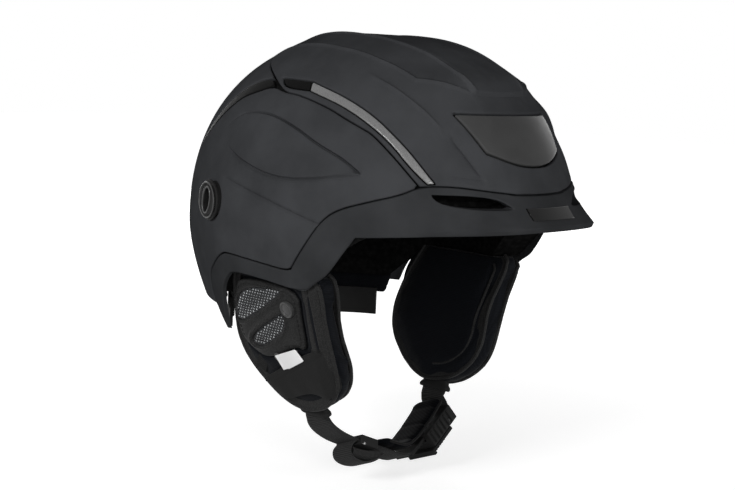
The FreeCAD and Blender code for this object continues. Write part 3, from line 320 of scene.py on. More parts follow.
def stripe_material():
    """Retroreflective film: bright grey with a fine cell pattern under a clear coat."""
    material, tree, shader = new_material("stripe_grey")
    place = place_coordinates(tree)
    cells = voronoi(tree, place, 900.0, "DISTANCE_TO_EDGE")
    tree.links.new(ramp(tree, cells, [(0.02, grey(0.085)), (0.12, grey(0.13))]), shader.inputs["Base Color"])
    tree.links.new(span(tree, noise(tree, place, 90.0, 4.0), 0.26, 0.40), shader.inputs["Roughness"])
    shader.inputs["Specular IOR Level"].default_value = 0.5
    shader.inputs["Coat Weight"].default_value = 0.25
    shader.inputs["Coat Roughness"].default_value = 0.12
    bump(tree, shader, [(cells, 0.00006, 0.4), (noise(tree, place, 160.0, 3.0), 0.0003, 0.15)])
    return material


def foam_material():
    """Expanded foam: packed beads with small pits between them."""
    material, tree, shader = new_material("foam")
    place = place_coordinates(tree)
    beads = voronoi(tree, place, 320.0, "SMOOTH_F1")
    tree.links.new(ramp(tree, beads, [(0.1, grey(0.008)), (0.6, grey(0.003))]), shader.inputs["Base Color"])
    shader.inputs["Roughness"].default_value = 0.75
    shader.inputs["Specular IOR Level"].default_value = 0.01
    height = math_node(tree, "SUBTRACT", 1.0, beads)
    bump(tree, shader, [(height, 0.0006, 0.6), (noise(tree, place, 1500.0, 2.0), 0.0001, 0.3)])
    return material


def leather_material():
    """Leather-like cover: pebbled grain, soft gloss that varies, faint creases."""
    material, tree, shader = new_material("pad_cover")
    place = place_coordinates(tree)
    pebbles = voronoi(tree, place, 750.0, "DISTANCE_TO_EDGE")
    creases = noise(tree, place, 75.0, 5.0, 0.6)
    tree.links.new(ramp(tree, pebbles, [(0.02, grey(0.014)), (0.25, grey(0.024))]), shader.inputs["Base Color"])
    shader.inputs["Specular IOR Level"].default_value = 0.04
    tree.links.new(span(tree, creases, 0.38, 0.58), shader.inputs["Roughness"])
    bump(tree, shader, [(pebbles, 0.00015, 0.6), (creases, 0.0012, 0.3)])
    return material


def net_material():
    """Dark knit behind the windows: threads round darker eyelets."""
    material, tree, shader = new_material("net_grey")
    place = place_coordinates(tree)
    eyes = product(tree, wave(tree, place, 240.0, "Y"), wave(tree, place, 240.0, "Z"))
    stops = [(0.25, grey(0.006, (0.9, 1.0, 1.2))), (0.55, grey(0.022, (0.92, 1.0, 1.12)))]
    tree.links.new(ramp(tree, eyes, stops), shader.inputs["Base Color"])
    shader.inputs["Roughness"].default_value = 0.7
    shader.inputs["Specular IOR Level"].default_value = CLOTH_SPECULAR
    shader.inputs["Sheen Weight"].default_value = 0.2
    bump(tree, shader, [(eyes, 0.0004, 0.8)])
    return material


def webbing_material():
    """Woven strap: ribs across it and fine threads along it."""
    material, tree, shader = new_material("webbing")
    flat = tree.nodes.new("ShaderNodeUVMap").outputs["UV"]
    ribs = wave(tree, flat, 0.28, "X", 0.4)
    threads = wave(tree, flat, 0.5, "Y", 0.8)
    fuzz = noise(tree, place_coordinates(tree), 1400.0, 3.0)
    mixed = mix(tree, (ribs, 0.5), (threads, 0.3), (fuzz, 0.2))
    tree.links.new(ramp(tree, mixed, [(0.2, grey(0.010)), (0.8, grey(0.034))]), shader.inputs["Base Color"])
    shader.inputs["Roughness"].default_value = 0.72
    shader.inputs["Specular IOR Level"].default_value = CLOTH_SPECULAR
    shader.inputs["Sheen Weight"].default_value = 0.05
    bump(tree, shader, [(mixed, 0.0004, 0.7)])
    return material


def steel_material():
    """Dark steel with fine drawn lines."""
    material, tree, shader = new_material("steel")
    place = place_coordinates(tree)
    lines = noise(tree, place, 500.0, 4.0)
    tree.links.new(ramp(tree, lines, [(0.3, grey(0.13)), (0.7, grey(0.20))]), shader.inputs["Base Color"])
    shader.inputs["Metallic"].default_value = 1.0
    tree.links.new(span(tree, lines, 0.22, 0.36), shader.inputs["Roughness"])
    bump(tree, shader, [(lines, 0.00003, 0.3)])
    return material


# Plastics: colour, its spread, roughness, scale and depth in metres of the grain, specular level
PLASTICS = {
    "shell_charcoal": (grey(0.042, (0.97, 1.0, 1.07)), 0.12, 0.7, 2600.0, 0.00007, 0.0),
    # The lower shell's charcoal is the shell's own charcoal made darker: painted shade on the brim, temples and
    # ear frames, which face down
    "lower_charcoal_painted_shade": (grey(0.032, (0.97, 1.0, 1.06)), 0.12, 0.7, 2600.0, 0.00007, 0.0),
    "panel_black": (grey(0.045), 0.10, 0.45, 2200.0, 0.00004, 0.04),
    "gloss_black": (grey(0.004), 0.08, 0.14, 900.0, 0.00001, 0.10),
    "trim_black": (grey(0.016), 0.12, 0.5, 1800.0, 0.00006, 0.03),
    "snap_grey": (grey(0.045), 0.08, 0.35, 1500.0, 0.00003, 0.20),
    "stripe_black": (grey(0.006), 0.08, 0.45, 900.0, 0.00001, 0.01),
    "net_dots": (grey(0.34, (0.97, 1.0, 1.03)), 0.25, 0.5, 900.0, 0.0001, 0.3),
}

# Fabrics: colour, its spread, scale and depth in metres of the weave, sheen, roughness
FABRICS = {
    "lining": (grey(0.0035, (0.85, 0.95, 1.25)), 0.35, 260.0, 0.0002, 0.02, 0.85),
    "pad_fabric": (grey(0.007, (0.9, 1.0, 1.25)), 0.30, 300.0, 0.00015, 0.03, 0.62),
    "sleeve_fabric": (grey(0.018), 0.25, 420.0, 0.0001, 0.05, 0.85),
    "tag_white": (grey(0.84), 0.06, 700.0, 0.00006, 0.1, 0.6),
}

MATERIALS = {name: plastic(name, *looks) for name, looks in PLASTICS.items()}
MATERIALS.update({name: cloth_weave(name, *looks) for name, looks in FABRICS.items()})
MATERIALS.update({
    "stripe_grey": stripe_material(), "foam": foam_material(), "pad_cover": leather_material(),
    "net_grey": net_material(), "webbing": webbing_material(), "steel": steel_material()})


# Mesh helpers

NODE_BODY = {name: body for body, members in frame["record"]["behaviour"]["bodies"].items() for name in members}
SMOOTH_ANGLE = math.radians(38)
SOFT_SMOOTH_ANGLE = math.radians(60)
KNOT_SMOOTH_ANGLE = math.radians(80)
SNAP_SMOOTH_ANGLE = math.radians(50)

# Eased edges of the solids that keep their form: radius, faces per edge, and the turn that counts
BEVEL_RADIUS = 0.4
BEVEL_SEGMENTS = 2
BEVEL_ANGLE = math.radians(28)
FLAT_ANGLE = math.radians(1.2)
SAME_PLACE = 2e-6


def finish_piece(piece, material, body=None, replaces=(), slot=None):
    piece.data.materials.clear()
    piece.data.materials.append(MATERIALS[material])
    slot or material
    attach(piece, body or NODE_BODY[replaces[0]])
    for name in replaces:
        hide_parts(name)
    return piece


def new_object(name, mesh):
    piece = bpy.data.objects.new(name, mesh)
    scene.collection.objects.link(piece)
    return piece


def mesh_of(name, points, faces, smooth=SMOOTH_ANGLE):
    mesh = bpy.data.meshes.new(name)
    mesh.from_pydata((np.asarray(points, float) * MM).tolist(), [], [list(map(int, f)) for f in faces])
    mesh.update()
    mesh.shade_smooth()
    mesh.set_sharp_from_angle(angle=smooth)
    return mesh


def refine(node, material):
    """A CAD solid's own form with eased edges, in place of the node."""
    mesh = frame["nodes"][node].data.copy()
    mesh.name = node + "_form"
    work = bmesh.new()
    work.from_mesh(mesh)
    bmesh.ops.remove_doubles(work, verts=work.verts, dist=SAME_PLACE)
    bmesh.ops.dissolve_limit(work, angle_limit=FLAT_ANGLE, verts=work.verts, edges=work.edges)
    work.to_mesh(mesh)
    work.free()
    if "custom_normal" in mesh.attributes:
        mesh.attributes.remove(mesh.attributes["custom_normal"])
    mesh.shade_smooth()
    mesh.set_sharp_from_angle(angle=SMOOTH_ANGLE)
    piece = new_object(node + "_form", mesh)
    bevel = piece.modifiers.new("eased", "BEVEL")
    bevel.width = BEVEL_RADIUS * MM
    bevel.segments = BEVEL_SEGMENTS
    bevel.limit_method = "ANGLE"
    bevel.angle_limit = BEVEL_ANGLE
    bevel.harden_normals = False
    return finish_piece(piece, material, replaces=(node,))


# Skins: pieces of the egg-shaped dome cut by outlines, with rounded edges

# The brim: how its lip's plan and its flare blend, in millimetres and degrees
LIP_BLEND = 6.0
LIP_TURN_MOST = 1.4
FLARE_STRAIGHT = 0.72
FLARE_CURVED = 0.28
FACET_MOST = 1.4
FLARE_END = math.radians(62)
FLARE_FADE = math.radians(8)
BEHIND_FLARE = 5
FLARE_SOFT = 0.35
FLARE_SOFT_SHARE = 0.3

# Meshing of the skins
DOME_ARC = 175
TOP_MARGIN = 0.01
CORNER_CUT = 0.25
EDGE_REACH = 6
EDGE_STEPS = (0.12, 0.4, 1.0)
LEAN_LEAST = 0.06
LEVEL_MARGIN = 2e-3
WELD_STEP = 2e-3
SMALL_TURN = 1e-3
SMALL_RISE = 0.05


def soft_power(value, power, soft):
    full = (1 + soft * soft) ** (power / 2) - soft ** power
    return ((value * value + soft * soft) ** (power / 2) - soft ** power) / full


def egg_radius(angle, half, front, rear):
    side, ahead = np.sin(angle), np.cos(angle)
    power = np.where(ahead > 0, FRONT_POWER, REAR_POWER)
    length = np.where(ahead > 0, front, rear)
    total = (soft_power(side, power, EGG_SOFT) / half ** power
             + soft_power(ahead, power, EGG_SOFT) / length ** power)
    return total ** (-1 / power)


def level_share(z, height=SHELL_HEIGHT, tuck=TUCK_SHARE):
    up = np.clip(z / height, 0, 1)
    down = np.clip(-z / height, 0, None)
    above = (1 - up ** PROFILE_POWER) ** (1 / PROFILE_POWER)
    below = 1 - tuck * soft_power(down, TUCK_POWER, TUCK_SOFT)
    return np.where(z >= 0, above, below)


def dome_radius(angle, z, inset=0.0):
    plan = egg_radius(angle, SHELL_HALF_WIDTH - inset, SHELL_FRONT - inset, SHELL_REAR - inset)
    return plan * level_share(z, SHELL_HEIGHT - inset)


def off_front(angle):
    return np.abs((angle + math.pi) % (2 * math.pi) - math.pi)


def lip_radius(angle):
    near = np.clip(off_front(angle) - math.radians(BRIM_SIDE_ANGLE), -LIP_TURN_MOST, LIP_TURN_MOST)
    side = BRIM_SIDE / np.cos(near)
    return -np.log(np.exp(-side / LIP_BLEND) + math.exp(-BRIM_RADIUS / LIP_BLEND)) * LIP_BLEND


def under_height(angle, radius):
    return BRIM_LOW + BRIM_RISE_SHARE * (radius * np.cos(angle) - BRIM_TEMPLE)


def brow_radius(angle, z):
    """The skin with the brim's flare and the facet under its lip."""
    skin = dome_radius(angle, z)
    lip = lip_radius(angle)
    low = under_height(angle, lip)
    start = dome_radius(angle, np.full_like(z, BRIM_TOP)) - FIT
    share = np.clip((BRIM_TOP - z) / (BRIM_TOP - low - BRIM_LIP), 0, 1)
    flare = start + (lip - start) * (FLARE_STRAIGHT * share + FLARE_CURVED * share * share)
    facet = np.clip((low + BRIM_LIP - z) / BRIM_LIP, 0, FACET_MOST)
    flare = flare - BRIM_BEVEL * facet
    turn = off_front(angle)
    fade = np.clip((FLARE_END - turn) / FLARE_FADE, 0, 1)
    flare = np.where(turn < FLARE_END, skin + (flare - skin) * fade, skin - BEHIND_FLARE)
    apart = np.exp(-np.abs(flare - skin) / FLARE_SOFT)
    return np.maximum(flare, skin) + FLARE_SOFT * apart * FLARE_SOFT_SHARE


def on_circle(angle, radius, height):
    return np.stack([radius * np.sin(angle), -radius * np.cos(angle), height], -1)


def grid_faces(rows, cols, closed=False):
    """Triangles of a grid of points, with their diagonals turned by turns."""
    i, j = np.meshgrid(np.arange(rows - 1), np.arange(cols if closed else cols - 1), indexing="ij")
    i, j = i.reshape(-1), j.reshape(-1)
    k = (j + 1) % cols
    p, q, s, t = i * cols + j, i * cols + k, (i + 1) * cols + k, (i + 1) * cols + j
    flip = ((i + j) % 2 == 0)[:, None]
    first = np.where(flip, np.stack([p, s, q], 1), np.stack([p, t, q], 1))
    second = np.where(flip, np.stack([p, t, s], 1), np.stack([q, t, s], 1))
    return np.concatenate([first, second])


def grid(radius_of, levels, columns=GRID_COLUMNS, start=0.0, end=2 * math.pi):
    """Points, normals and triangles of a surface given by its radius at an angle and height."""
    closed = abs(end - start - 2 * math.pi) < 1e-9
    count = columns if closed else max(8, int(columns * (end - start) / (2 * math.pi)))
    angles = start + (end - start) * np.arange(count if closed else count + 1) / count
    a, z = np.meshgrid(angles, levels)

    def at(angle, height):
        return on_circle(angle, radius_of(angle, height), height)

    points = at(a, z)
    along_a = at(a + SMALL_TURN, z) - at(a - SMALL_TURN, z)
    high = np.minimum(z + SMALL_RISE, SHELL_HEIGHT - TOP_MARGIN)
    upward = at(a, high) - at(a, high - 2 * SMALL_RISE)
    normals = np.cross(along_a, upward)
    length = np.linalg.norm(normals, axis=-1, keepdims=True)
    normals = np.where(length > 1e-12, normals / np.maximum(length, 1e-12), [0, 0, 1])
    normals[z > SHELL_HEIGHT - 2 * TOP_MARGIN] = [0, 0, 1]
    return points.reshape(-1, 3), normals.reshape(-1, 3), grid_faces(*a.shape, closed)


def dome_levels(low, step=GRID_STEP, high=SHELL_HEIGHT):
    rise = np.linspace(0, math.pi / 2, int(DOME_ARC / step))
    upper = SHELL_HEIGHT * np.abs(np.cos(rise)) ** (2 / PROFILE_POWER)
    upper[-1] = 0
    lower = -np.arange(step, -low + step, step) if low < 0 else np.array([])
    levels = np.concatenate([upper, lower])
    return levels[(levels <= high) & (levels >= low)]


def smooth_outline(points, rounds=2, corner=CORNER_TURN):
    """Corner cutting of a closed outline that leaves sharp corners where they are."""
    points = [np.array(p, float) for p in points]
    sharp = []
    for k, here in enumerate(points):
        a, b = here - points[k - 1], points[(k + 1) % len(points)] - here
        turn = abs(math.atan2(a[0] * b[1] - a[1] * b[0], a @ b))
        sharp.append(turn > math.radians(corner))
    for _ in range(rounds):
        out, marks = [], []
        for k, here in enumerate(points):
            if sharp[k]:
                out.append(here)
                marks.append(True)
                continue
            before, after = points[k - 1], points[(k + 1) % len(points)]
            out += [here + (before - here) * CORNER_CUT, here + (after - here) * CORNER_CUT]
            marks += [False, False]
        points, sharp = out, marks
    return np.array(points)


def side_points(shares):
    return [(y * SHELL_FRONT, z * SHELL_HEIGHT) for y, z in shares]


def front_points(shares):
    return [(x * SHELL_HALF_WIDTH, z * SHELL_HEIGHT) for x, z in shares]


def signed_distance(flat, outline):
    """Distance of flat points to a closed outline, positive inside, and its direction."""
    best = np.full(len(flat), 1e9)
    way = np.zeros((len(flat), 2))
    inside = np.zeros(len(flat), bool)
    count = len(outline)
    for k in range(count):
        a, b = outline[k], outline[(k + 1) % count]
        edge = b - a
        share = np.clip(((flat - a) @ edge) / (edge @ edge), 0, 1)
        gap = flat - (a + share[:, None] * edge)
        far = np.linalg.norm(gap, axis=1)
        nearer = far < best
        best = np.where(nearer, far, best)
        way = np.where(nearer[:, None], gap, way)
        crosses = (a[1] > flat[:, 1]) != (b[1] > flat[:, 1])
        rise = b[1] - a[1] if abs(b[1] - a[1]) > 1e-12 else 1e-12
        at = a[0] + (flat[:, 1] - a[1]) / rise * edge[0]
        inside ^= crosses & (flat[:, 0] < at)
    unit = way / np.maximum(best, 1e-9)[:, None]
    return np.where(inside, best, -best), unit


def surface_distance(points, normals, outline, view):
    """Distance to an outline measured on the surface. The view is side or front."""
    axes = {"side": (1, 2), "front": (0, 2)}[view]
    flat = points[:, axes]
    distance, way = signed_distance(flat, outline)
    lean = way[:, 0] * normals[:, axes[0]] + way[:, 1] * normals[:, axes[1]]
    return distance / np.sqrt(np.clip(1 - lean * lean, LEAN_LEAST, 1))


def split(data, tris, key, level):
    """Cuts the triangles where a field passes a level. All fields follow along straight lines."""
    value = data[key] - level
    value = np.where(np.abs(value) < LEVEL_MARGIN, 0, value)
    data[key] = value + level
    sign = np.sign(value)
    ends = np.stack([tris, np.roll(tris, -1, axis=1)], -1)
    crossing = sign[ends[..., 0]] * sign[ends[..., 1]] < 0
    if not crossing.any():
        return data, tris
    total = len(value)
    low, high = ends.min(-1), ends.max(-1)
    codes = low[crossing].astype(np.int64) * total + high[crossing]
    unique, back = np.unique(codes, return_inverse=True)
    i, j = unique // total, unique % total
    share = value[i] / (value[i] - value[j])
    grown = {}
    for name, field in data.items():
        weight = share[:, None] if field.ndim == 2 else share
        grown[name] = np.concatenate([field, field[i] + (field[j] - field[i]) * weight])
    grown[key][total:] = level
    middle = np.full(ends.shape[:2], -1)
    middle[crossing] = total + back
    cuts = crossing.sum(1)
    out = [tris[cuts == 0]]
    one = cuts == 1
    if one.any():
        t, m = tris[one], middle[one]
        place = np.argmax(m >= 0, axis=1)
        rows = np.arange(len(t))
        q, r = t[rows, place], t[rows, (place + 1) % 3]
        z, e = t[rows, (place + 2) % 3], m[rows, place]
        out += [np.stack([z, q, e], 1), np.stack([z, e, r], 1)]
    two = cuts == 2
    if two.any():
        t, m = tris[two], middle[two]
        place = np.argmin(m, axis=1)
        rows = np.arange(len(t))
        q, r, p = t[rows, place], t[rows, (place + 1) % 3], t[rows, (place + 2) % 3]
        rp, pq = m[rows, (place + 1) % 3], m[rows, (place + 2) % 3]
        out += [np.stack([p, pq, rp], 1), np.stack([pq, q, r], 1), np.stack([pq, r, rp], 1)]
    return grown, np.concatenate(out)


def rounding(distance, radius):
    inner = np.clip(radius - distance, 0, radius)
    return radius - np.sqrt(np.maximum(radius * radius - inner * inner, 0))


def keep_inside(data, tris, key):
    middle = data[key][tris].mean(1)
    return tris[middle > 0]


def compact(data, tris):
    used, back = np.unique(tris, return_inverse=True)
    return {name: field[used] for name, field in data.items()}, back.reshape(tris.shape)


def skin(surface, domains, creases=(), lift=None, inner=None, depth=SHELL_WALL, radius=EDGE_RADIUS, drop=0.0,
         follow=False):
    """Closed piece of a surface. domains are functions of points and normals that are positive
    inside. creases are (function, levels) along which the mesh gets edges. lift gives the height of
    the outer face over the surface, and with follow the inner face rises with it. inner gives the
    inner face's points."""
    points, normals, tris = surface
    data = {"p": points, "n": normals}
    for number, domain in enumerate(domains):
        key = "d%d" % number
        data[key] = domain(data["p"], data["n"])
        near = data[key][tris].max(1) > -EDGE_REACH
        data, tris = compact(data, tris[near])
        data, tris = split(data, tris, key, 0.0)
        data, tris = compact(data, keep_inside(data, tris, key))
        for share in EDGE_STEPS:
            data, tris = split(data, tris, key, share * radius)
    for number, (field, levels) in enumerate(creases):
        key = "c%d" % number
        data[key] = field(data["p"], data["n"])
        for level in levels:
            data, tris = split(data, tris, key, level)
    n = data["n"] / np.linalg.norm(data["n"], axis=1, keepdims=True)
    p = data["p"]
    drops = np.zeros(len(p))
    for number in range(len(domains)):
        drops = np.maximum(drops, rounding(data["d%d" % number], radius))
    height = lift(p, n, data) if lift else 0.0
    outer = p + n * (height - drops - drop)[:, None]
    below = inner(p) if inner else p - n * depth
    if follow:
        below = p + n * (height - depth)[:, None]
    ends = np.concatenate([tris[:, [0, 1]], tris[:, [1, 2]], tris[:, [2, 0]]])
    codes = ends.min(1).astype(np.int64) * len(p) + ends.max(1)
    _, first, counts = np.unique(codes, return_index=True, return_counts=True)
    border = ends[first[counts == 1]]
    total = len(p)
    a, b = border[:, 0], border[:, 1]
    walls = np.concatenate([np.stack([b, a, a + total], 1), np.stack([b, a + total, b + total], 1)])
    everything = np.concatenate([tris, tris[:, ::-1] + total, walls])
    return weld(np.concatenate([outer, below]), everything)


def weld(points, tris):
    keys = np.round(points / WELD_STEP).astype(np.int64)
    _, first, back = np.unique(keys, axis=0, return_index=True, return_inverse=True)
    tris = back.reshape(-1)[tris]
    good = (tris[:, 0] != tris[:, 1]) & (tris[:, 1] != tris[:, 2]) & (tris[:, 0] != tris[:, 2])
    return points[first], tris[good]


def outward(points, tris):
    """Turns the faces so that the closed form's volume is positive."""
    a, b, c = points[tris[:, 0]], points[tris[:, 1]], points[tris[:, 2]]
    volume = np.einsum("ij,ij->i", a, np.cross(b, c)).sum()
    return tris if volume > 0 else tris[:, ::-1]


def skin_piece(name, made, material, node, slot=None):
    points, tris = made
    mesh = mesh_of(name, points, outward(points, tris))
    return finish_piece(new_object(name, mesh), material, replaces=(node,), slot=slot)


def pair(name, made, material, node, slot=None):
    """The right piece and its mirror image on the left."""
    points, tris = made
    skin_piece(name + "_right", made, material, node + "_right", slot)
    skin_piece(name + "_left", (points * [-1, 1, 1], tris[:, ::-1]), material, node + "_left", slot)


def outline_domain(shares, gap=SEAM / 2, invert=False):
    outline = smooth_outline(side_points(shares))

    def field(points, normals):
        distance = surface_distance(points, normals, outline, "side")
        return -distance - gap if invert else distance - gap

    return field


def line_field(across, along, table):
    """Signed distance from a line given as a table of along to across."""
    table = sorted(table)
    stations = np.array([row[0] for row in table])
    places = np.array([row[1] for row in table])
    slopes = np.gradient(places, stations)

    def field(points, normals):
        a = along(points)
        slope = np.interp(a, stations, slopes)
        return (across(points) - np.interp(a, stations, places)) / np.sqrt(1 + slope * slope)

    return field


def ease(value, low, high):
    share = np.clip((value - low) / (high - low), 0, 1)
    return share * share * (3 - 2 * share)


def ridge(distance, height, width):
    """A raised line that falls off to both sides."""
    return height * np.exp(-np.abs(distance) / width)


def bell(value, place, width):
    return np.exp(-((value - place) / width) ** 2)


def swell(distance, height, width):
    """How a cushion rises from its edge."""
    return height * (1 - np.exp(-np.maximum(distance, 0) / width))


def side_x(points):
    return np.abs(points[:, 0])


def depth_y(points):
    return points[:, 1]


def height_z(points):
    return points[:, 2]


# Features of the crown, in millimetres: lines given as pairs of (along, across), and where each
# feature fades, as (low, high) pairs
CREST_OUTER = [(-21.0, 51.0), (-51.0, 50.0), (-77.0, 47.0), (-92.0, 33.0), (-100.0, 23.0), (20.0, 49.0)]
CREST_INNER = [(-100.0, 21.0), (-85.0, 24.0), (-67.0, 25.0), (-43.0, 28.0), (-14.0, 29.0), (25.0, 26.0)]
CREASE_HIGH = [(92.0, 60.0), (82.0, 57.0), (69.0, 52.0)]
CREASE_LOW = [(62.0, 48.0), (50.0, 43.0), (41.0, 39.0)]
CREASE_TIP = [(39.0, 41.0), (56.0, 43.0)]
CREST_HEIGHT = 2.5
CREST_WIDTH = 12.0
CREST_OUTER_REAR = (-55, -25)
CREST_INNER_REAR = (-60, -20)
CREST_FRONT = (88, 106)
CREST_STEEP = (0.2, 0.35)
BEAD_HEIGHT = 0.8
BEAD_WIDTH = 1.5
BEAD_LEVELS = (-BEAD_WIDTH, 0.0, BEAD_WIDTH)
BEAD_OUTER_REAR = (-40, -10)
BEAD_INNER_REAR = (-45, -5)
CREASE_HIGH_HEIGHT = 1.3
CREASE_HIGH_WIDTH = 8
CREASE_LOW_DEPTH = 1.8
CREASE_LOW_WIDTH = 4
CREASE_LOW_BEAD = 0.6
CREASE_TIP_DEPTH = 1.1
CREASE_TIP_WIDTH = 2.2
STEP_LEVEL = 87.3
STEP_HEIGHT = 2.2
STEP_RAMP = 1.2
STEP_FADE = 15.0
STEP_SIDE = (-25.0, -21.0)
STEP_REAR = (30, 60)
NOWHERE = 40.0


def bead(distance):
    """A low bead along a line."""
    return BEAD_HEIGHT * np.clip(1 - np.abs(distance) / BEAD_WIDTH, 0, 1)


def front_outline(shares, rounds=2, corner=CORNER_TURN):
    return smooth_outline(front_points(shares), rounds, corner)


def build_crown():
    surface = grid(dome_radius, dome_levels(25.0))
    fields = [line_field(side_x, depth_y, CREST_OUTER), line_field(side_x, depth_y, CREST_INNER),
              line_field(side_x, height_z, CREASE_HIGH), line_field(side_x, height_z, CREASE_LOW)]
    crease_tip = line_field(height_z, side_x, CREASE_TIP)
    panel = front_outline(PANEL_SHARES)

    def step_field(points, normals):
        return np.where(points[:, 1] < 0, points[:, 2] - STEP_LEVEL, NOWHERE)

    def recess(points, normals):
        distance = surface_distance(points, normals, panel, "front")
        return -np.where(points[:, 1] > 0, -NOWHERE, distance) - PANEL_GAP

    def lift(p, n, data):
        x, y, z = np.abs(p[:, 0]), p[:, 1], p[:, 2]
        high = ease(n[:, 2], *CREST_STEEP)
        outer = ridge(data["c0"], CREST_HEIGHT, CREST_WIDTH) * ease(-y, *CREST_OUTER_REAR) * high
        inner = ridge(data["c1"], CREST_HEIGHT, CREST_WIDTH) * ease(-y, *CREST_INNER_REAR) * high
        beads = (bead(data["c0"]) * ease(-y, *BEAD_OUTER_REAR) * high
                 + bead(data["c1"]) * ease(-y, *BEAD_INNER_REAR) * high)
        first = ridge(data["c2"], CREASE_HIGH_HEIGHT, CREASE_HIGH_WIDTH) + bead(data["c2"])
        first = first * ease(z, 62, 76) * ease(-z, -100, -88) * ease(-y, 40, 60)
        second = ridge(data["c3"], CREASE_LOW_DEPTH, CREASE_LOW_WIDTH) + CREASE_LOW_BEAD * bead(data["c3"])
        second = -second * ease(z, 40, 47) * ease(-z, -70, -58) * ease(-y, 90, 100)
        tip = -ridge(data["c4"], CREASE_TIP_DEPTH, CREASE_TIP_WIDTH)
        tip = tip * ease(x, 37, 40) * ease(-x, -60, -48) * ease(-y, 80, 90)
        above = z - STEP_LEVEL
        step = np.clip(above / STEP_RAMP + 0.5, 0, 1) * np.exp(-np.maximum(above, 0) / STEP_FADE)
        step *= STEP_HEIGHT * ease(-x, *STEP_SIDE) * ease(-y, *STEP_REAR)
        return (outer + inner + beads) * (1 - ease(-y, *CREST_FRONT)) + first + second + tip + step

    creases = [(field, BEAD_LEVELS) for field in fields]
    creases += [(crease_tip, (0.0,)), (step_field, (-STEP_RAMP / 2, STEP_RAMP / 2))]
    domains = [outline_domain(CROWN_SHARES), outline_domain(STRIPE_SHARES, invert=True),
               outline_domain(STRIPE_END_SHARES, invert=True), recess]
    skin_piece("crown_skin", skin(surface, domains, creases, lift), "shell_charcoal", "crown_shell")
    front = grid(dome_radius, dome_levels(40.0, 1.6, 90.0), 480, -math.radians(40), math.radians(40))
    made = skin(front, [lambda p, n: surface_distance(p, n, panel, "front")], radius=1.0)
    skin_piece("front_panel_skin", made, "panel_black", "front_panel")


def right_grid(levels, columns):
    return grid(dome_radius, levels, columns, math.radians(180), math.radians(360))


def build_rear():
    made = skin(grid(dome_radius, dome_levels(-60.0)), [outline_domain(REAR_SHARES)])
    skin_piece("rear_skin", made, "shell_charcoal", "rear_shell")
    right = right_grid(dome_levels(30.0, 1.5, 110.0), 560)
    made = skin(right, [outline_domain(REAR_STRIPE_SHARES)], radius=0.7, drop=0.2)
    pair("rear_stripe_skin", made, "stripe_black", "rear_stripe", "gloss_black")
    made = skin(right, [outline_domain(STRIPE_SHARES, FIT)], radius=0.6, depth=STRIPE_DEPTH, drop=0.1)
    pair("stripe_skin", made, "stripe_grey", "reflector_stripe")
    made = skin(right, [outline_domain(STRIPE_END_SHARES, FIT)], radius=0.6, depth=STRIPE_DEPTH, drop=0.1)
    pair("stripe_end_skin", made, "stripe_black", "stripe_end", "gloss_black")


def port_axis():
    share = (1 - (PORT_Y / SHELL_REAR) ** REAR_POWER) ** (1 / REAR_POWER)
    centre = np.array([-share * SHELL_HALF_WIDTH, PORT_Y, PORT_Z])
    turn = math.radians(PORT_TURN)
    return centre, np.array([-math.cos(turn), math.sin(turn), 0.0])


def port_distance(points, normals):
    centre, axis = port_axis()
    away = points - centre
    return np.linalg.norm(away - np.outer(away @ axis, axis), axis=1) - PORT_BARREL - FIT


# Features of the side shells
SIDE_CREASE = [(-55.0, 11.0), (-15.0, 22.0), (29.0, 32.0)]
SIDE_CREASE_DEPTH = 1.2
SIDE_CREASE_WIDTH = 7
SIDE_CREASE_FRONT = (-34, -8)
SIDE_CREASE_REAR = (-62, -48)
PETAL_RAISE = 1.5
PETAL_RAISE_FADE = (-34, 6)
PETAL_SINK = 1.3
PETAL_SINK_FADE = (-8, 40)
PETAL_BEVEL = 2.2
PETAL_STEP = 0.9
PETAL_LEAST = 1.5
GROOVE_DEPTH = 1.3
GROOVE_LOW_FADE = (-36, -8)
GROOVE_HIGH_FADE = (-48, 0)


def build_sides():
    right = right_grid(dome_levels(-60.0, GRID_STEP, 95.0), GRID_COLUMNS)
    petal = smooth_outline(side_points(PETAL_TOP + PETAL_FOOT))
    crease = line_field(height_z, depth_y, SIDE_CREASE)
    upper = np.array(side_points(PETAL_TOP[::-1]))
    lower = np.array(side_points(PETAL_TOP[-1:] + PETAL_FOOT))

    def petal_field(points, normals):
        return surface_distance(points, normals, petal, "side")

    def lift(p, n, data):
        y, z = p[:, 1], p[:, 2]
        top = np.interp(y, upper[:, 0], upper[:, 1])
        bottom = np.interp(y, lower[:, 0], lower[:, 1])
        share = np.clip((z - bottom) / np.maximum(top - bottom, PETAL_LEAST), 0, 1)
        tilt = (PETAL_RAISE * (1 - share) * ease(-y, *PETAL_RAISE_FADE)
                - PETAL_SINK * share * ease(-y, *PETAL_SINK_FADE))
        low_side = share < 0.5
        width = np.where(low_side, PETAL_BEVEL, PETAL_STEP)
        raised = tilt * (1 - np.clip(-data["c0"] / width, 0, 1))
        drawn = np.where(low_side, ease(-y, *GROOVE_LOW_FADE), ease(-y, *GROOVE_HIGH_FADE))
        groove = -GROOVE_DEPTH * np.clip(1 - np.abs(data["c0"]) / PETAL_STEP, 0, 1) * drawn
        line = ridge(data["c1"], SIDE_CREASE_DEPTH, SIDE_CREASE_WIDTH) + SIDE_CREASE_DEPTH * bead(data["c1"])
        valley = -line * ease(-y, *SIDE_CREASE_FRONT) * ease(y, *SIDE_CREASE_REAR)
        return raised + valley + groove

    made = skin(right, [outline_domain(SIDE_SHARES), port_distance, lambda p, n: -p[:, 0] - SEAM / 2],
                [(petal_field, (-PETAL_BEVEL, -PETAL_STEP, 0.0, PETAL_STEP)), (crease, BEAD_LEVELS)], lift)
    pair("side_skin", made, "shell_charcoal", "side_shell")


